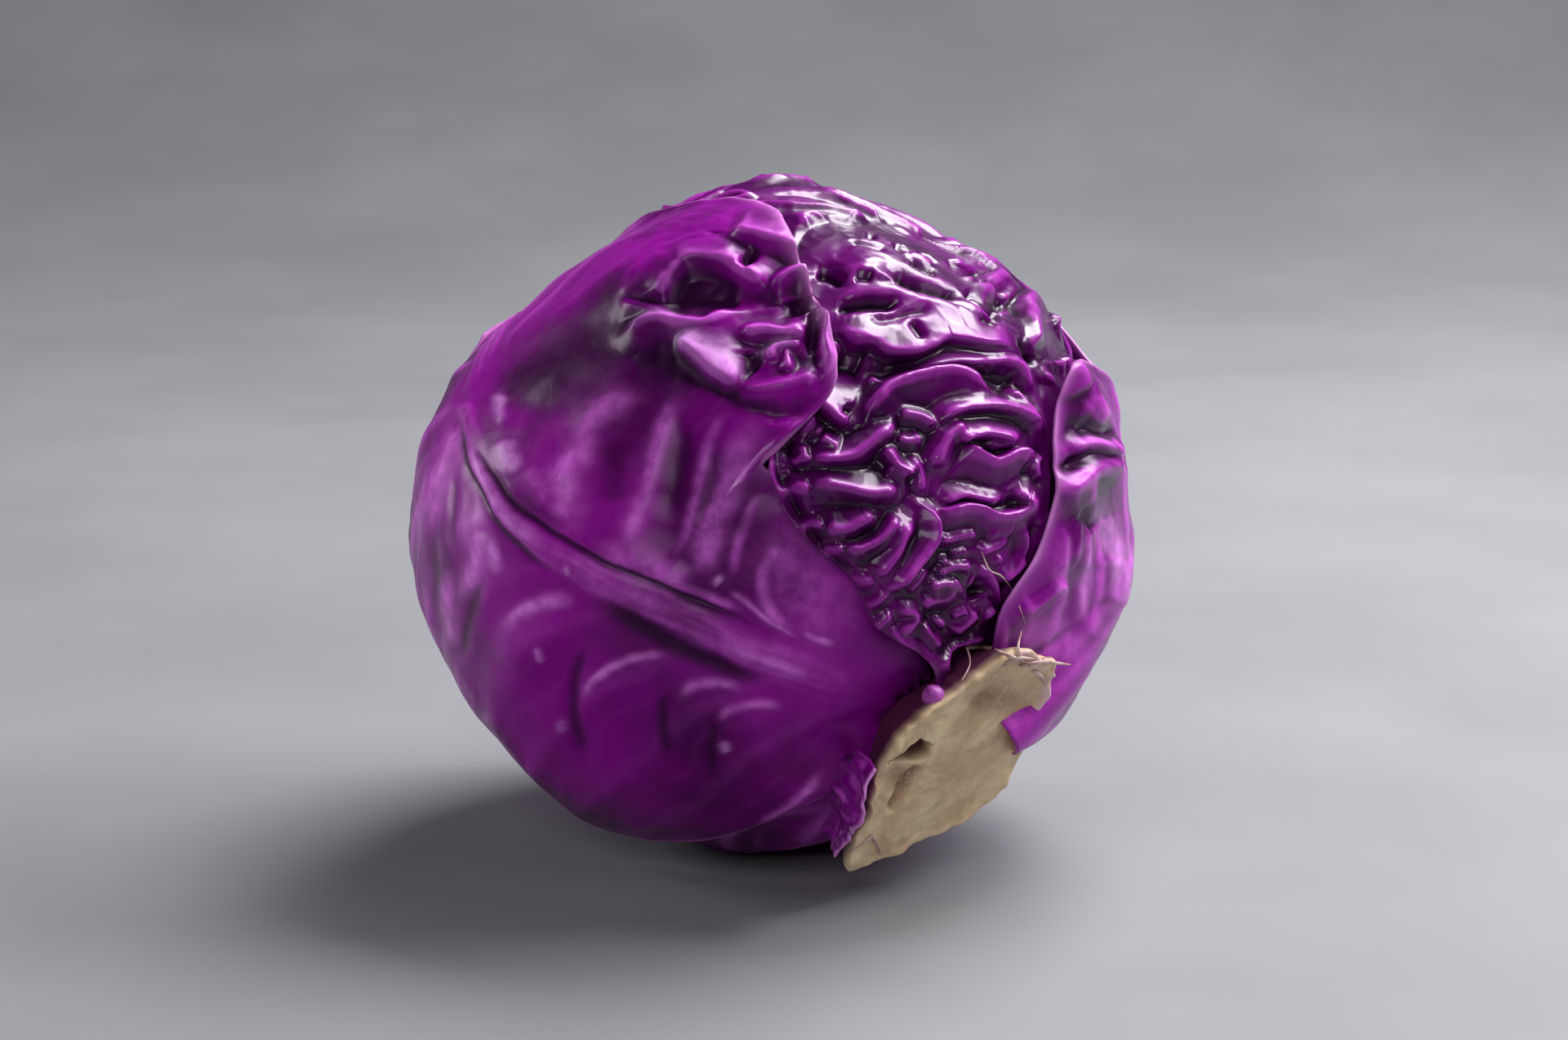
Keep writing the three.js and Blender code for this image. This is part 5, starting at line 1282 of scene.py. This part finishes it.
# The torn stub of a picked leaf, left of the stump: a crumpled flap with a ragged top
scrap = {"nodes": ["leaf_base_scrap"], "slot": "purple_leaf"}
rows, columns = 88, 64
wide, along = np.meshgrid(np.linspace(0, 1, columns + 1), np.linspace(0, 1, rows + 1))
scrapTurn = 116 + 48 * along
flap = np.stack([along * 30, wide * 9, np.zeros(wide.shape)], -1)
out = 1.1 + 0.12 * np.sin(np.pi * along) + 0.1 * wide ** 2
out = out + 0.07 * noise(flap, 7, 4.2) + 0.03 * noise(flap, 2.5, 1.2)
alongOnly = flap * np.array([1, 0, 1])
tall = 6.5 + 2.2 * noise(alongOnly, 7, 2.6)
tall = tall * (0.4 + 0.6 * np.sin(np.pi * (0.15 + 0.75 * along)))
tall = tall + 0.9 * noise(alongOnly, 1.8, 8.6) * wide
scrapThick = 1.4 - 0.7 * wide
outerSide = stumpPoint(scrapTurn, out + scrapThick / 20, -6 + wide * (tall + 3))
innerSide = stumpPoint(scrapTurn, out, -6 + wide * (tall + 3))
vertices = np.vstack([outerSide.reshape(-1, 3), innerSide[::coarseStep, ::coarseStep].reshape(-1, 3)])
# Its crest mark varies at random, painting the flap paler and darker in patches.
marks = marksOf(wide.shape, Vein=0.5 * fade(noise(flap, 3, 5.5), 0.2, 0.6), Edge=fade(wide, 0.88, 1.0),
                Crest=0.5 + np.clip(0.4 * noise(flap, 4, 9.2), -0.4, 0.4))
faces = bladeFaces(rows, columns)
makeMesh("leaf_base_scrap_stub", vertices, faces, bothSides(marks), scrap, materials["right"])
print("scrap made")


# A place on the front view, laid on what shows there and lifted towards the eye
def ontoSeen(a, b, rise):
    eye = Vector(headMiddle + nearWay * viewDistance)
    way = Vector(unit(a * rightWay + b * upWay - nearWay * viewDistance))
    reached = [hit[3] for hit in (tree.ray_cast(eye, way, 900) for tree in trees) if hit[0] is not None]
    nearest = min(reached) if reached else viewDistance - 42
    return np.array(eye + way * (nearest - rise))


# Dry fibres torn out of the stump's rim: tapering flat strips along curves
def strip(points, wide, thick):
    line = curveThrough(points, 0.5)
    ways = unit(np.gradient(line, axis=0))
    side = unit(np.cross(ways, cutFace))
    rise = np.cross(side, ways)
    size = np.linspace(0, 1, len(line))
    taper = (1 - 0.7 * size ** 2) * (0.6 + 0.4 * np.minimum(1, size * 6))
    taper = (taper * (1 + 0.25 * noise(line, 2.0, 1.1)))[:, None]
    ring = 8
    rows = []
    for k in range(ring):
        t = 2 * math.pi * k / ring
        rows.append(line + side * (wide * taper * math.cos(t)) + rise * (thick * taper * math.sin(t)))
    positions = np.stack(rows, axis=1)
    index = np.arange(positions.shape[0] * ring).reshape(-1, ring)
    faces = ringQuads(index) + [tuple(index[0].tolist())] + [tuple(index[-1, ::-1].tolist())]
    return positions.reshape(-1, 3), faces


fibrePiece = {"nodes": [], "slot": "cut_stalk"}
# [half width, half thickness, [(right, up, rise), ...]] on the front view
fibres = [
    [0.55, 0.35, [(37.2, -26.2, 0.6), (41.1, -26.2, 1.2), (44.6, -27.4, 1.2), (48, -28.7, 1.0),
        (49.6, -29.9, 0.5)]],
    [0.5, 0.4, [(47.6, -29.7, 0.6), (50, -29.2, 1.4), (52.6, -28.9, 1.6), (57.4, -29.5, 1.2)]],
    [0.42, 0.3, [(48.2, -29, 0.8), (47.3, -26.2, 1.4), (47.9, -23, 1.6)]],
    [0.22, 0.2, [(37.3, -26, 0.6), (37.9, -29.3, 0.8), (36.2, -32.8, 0.5)]],
    [0.5, 0.35, [(43.5, -30.2, 0.4), (45.5, -28.9, 1.0), (47.8, -28.2, 1.4), (50.4, -28.4, 0.8)]],
    [0.45, 0.35, [(50.2, -30.6, 0.5), (51.6, -31.6, 1.0), (52.4, -33.2, 0.6)]],
    [0.35, 0.3, [(19.4, -62.4, 0.5), (16.9, -64.3, 0.6), (14.7, -65.8, 0.4)]],
    [0.32, 0.25, [(18.6, -62.6, 0.5), (19.8, -64.4, 0.6), (20.5, -66.4, 0.4)]],
    [0.16, 0.16, [(40.2, -7.6, 0.5), (41.7, -11, 0.8), (44.1, -12.3, 0.9), (46.3, -15.3, 0.8),
        (47.8, -19, 0.8), (48.7, -21.6, 0.8)]],
]
allPoints, allFaces = [], []
for wide, thick, line in fibres:
    points, faces = strip([ontoSeen(*place) for place in line], wide, thick)
    start = sum(len(q) for q in allPoints)
    allPoints.append(points)
    allFaces += [tuple(k + start for k in f) for f in faces]
makeMesh("stump_fibres", np.vstack(allPoints), allFaces, {}, fibrePiece, materials["fibre"])

# A small round leaf scar beside the stump
scar = {"nodes": [], "slot": "purple_leaf", "seen": (30.7, -35.5), "radius": 2.1, "rings": 25, "sides": 40}
rings, sides = scar["rings"], scar["sides"]
level, turn = np.meshgrid(np.linspace(0, math.pi, rings), np.arange(sides) * math.tau / sides, indexing="ij")
ball = np.stack([np.sin(level) * np.cos(turn), np.sin(level) * np.sin(turn), np.cos(level)], -1)
ball = ball * (scar["radius"] * (1 + 0.1 * noise(ball * 3, 2.4, 3.3)))[..., None]
faces = ringQuads(np.arange(rings * sides).reshape(rings, sides))
marks = marksOf(level.shape, Vein=np.full(level.shape, 0.4), Edge=0.25 + 0.3 * noise(ball, 1.6, 2.2),
                Crest=np.full(level.shape, 0.5))
points = (ontoSeen(*scar["seen"], 0.4) + ball).reshape(-1, 3)
makeMesh("leaf_scar_knob", points, faces, marks, scar, materials["smooth"])
print("fibres and scar made")


# Floor, lights and camera
def floorMaterial():
    material, add = newMaterial("floor")
    place = add("ShaderNodeTexCoord").outputs["Object"]
    cloud = cloudNoise(add, place, 9, 3).outputs[0]
    colour = mixColour(add, ramp(add, cloud, 0.3, 0.7), linear(122, 123, 127), linear(130, 131, 135))
    surface(add, {"Base Color": colour, "Roughness": 0.65})
    return material


floorWidth, floorFront, wallAt, wallTop, bendRadius = 6.0, 2.5, 1.6, 3.0, 0.9
profile = [(-floorFront, 0.0), (0.0, 0.0), (wallAt - bendRadius, 0.0)]
for k in range(1, 25):
    t = math.radians(90 * k / 24)
    profile.append((wallAt - bendRadius + bendRadius * math.sin(t), bendRadius - bendRadius * math.cos(t)))
profile.append((wallAt, wallTop))
vertices = [(x, y, z) for y, z in profile for x in (-floorWidth / 2, floorWidth / 2)]
faces = [(2 * k, 2 * k + 1, 2 * k + 3, 2 * k + 2) for k in range(len(profile) - 1)]
floorMesh = bpy.data.meshes.new("floor")
floorMesh.from_pydata(vertices, [], faces)
floorMesh.polygons.foreach_set("use_smooth", [True] * len(faces))
floorMesh.materials.append(floorMaterial())
floor = bpy.data.objects.new("floor", floorMesh)
bpy.context.scene.collection.objects.link(floor)

middle = Vector(headMiddle * metre)


def softLight(name, setting):
    data = bpy.data.lights.new(name, "AREA")
    data.shape = "RECTANGLE"
    data.size, data.size_y = setting["size"]
    data.energy = setting["power"]
    light = bpy.data.objects.new(name, data)
    a, e = math.radians(setting["azimuth"]), math.radians(setting["elevation"])
    back = Vector((math.sin(a) * math.cos(e), -math.cos(a) * math.cos(e), math.sin(e)))
    light.location = middle + back * setting["away"]
    light.rotation_mode = "QUATERNION"
    light.rotation_quaternion = (-back).to_track_quat("-Z", "Y")
    bpy.context.scene.collection.objects.link(light)


# Azimuth 0 is the camera's side and 90 is the head's right; distances and sizes in metres
lights = {
    "key": {"azimuth": 100, "elevation": 40, "away": 1.1, "size": (0.45, 0.4), "power": 10},
    "back": {"azimuth": 138, "elevation": 56, "away": 1.0, "size": (0.55, 0.5), "power": 16},
    "above": {"azimuth": 110, "elevation": 74, "away": 1.1, "size": (0.7, 0.5), "power": 2},
    "left": {"azimuth": -106, "elevation": 16, "away": 1.1, "size": (0.22, 0.6), "power": 4.5},
    "front": {"azimuth": -14, "elevation": 30, "away": 1.3, "size": (0.5, 0.5), "power": 4},
    "fill": {"azimuth": 50, "elevation": 34, "away": 1.4, "size": (0.5, 0.5), "power": 1.5},
}
for name, setting in lights.items():
    softLight(name, setting)
world = bpy.data.worlds.new("room")
world.use_nodes = True
world.node_tree.nodes["Background"].inputs[0].default_value = (0.8, 0.8, 0.84, 1)
world.node_tree.nodes["Background"].inputs[1].default_value = 0.03
bpy.context.scene.world = world

photoWidth = 1920
camera = bpy.data.cameras.new("camera")
camera.lens = 85
camera.sensor_width = 36
camera.shift_x = 11 / photoWidth
camera.shift_y = -8.5 / photoWidth
camera.clip_start = 0.05
camera.clip_end = 20
eye = bpy.data.objects.new("camera", camera)
back = Vector(nearWay)
eye.location = middle + back * viewDistance * metre
eye.rotation_mode = "QUATERNION"
eye.rotation_quaternion = (-back).to_track_quat("-Z", "Y")
bpy.context.scene.collection.objects.link(eye)
bpy.context.scene.camera = eye
bpy.context.scene.view_settings.view_transform = "Standard"
print("stage, lights and camera made")
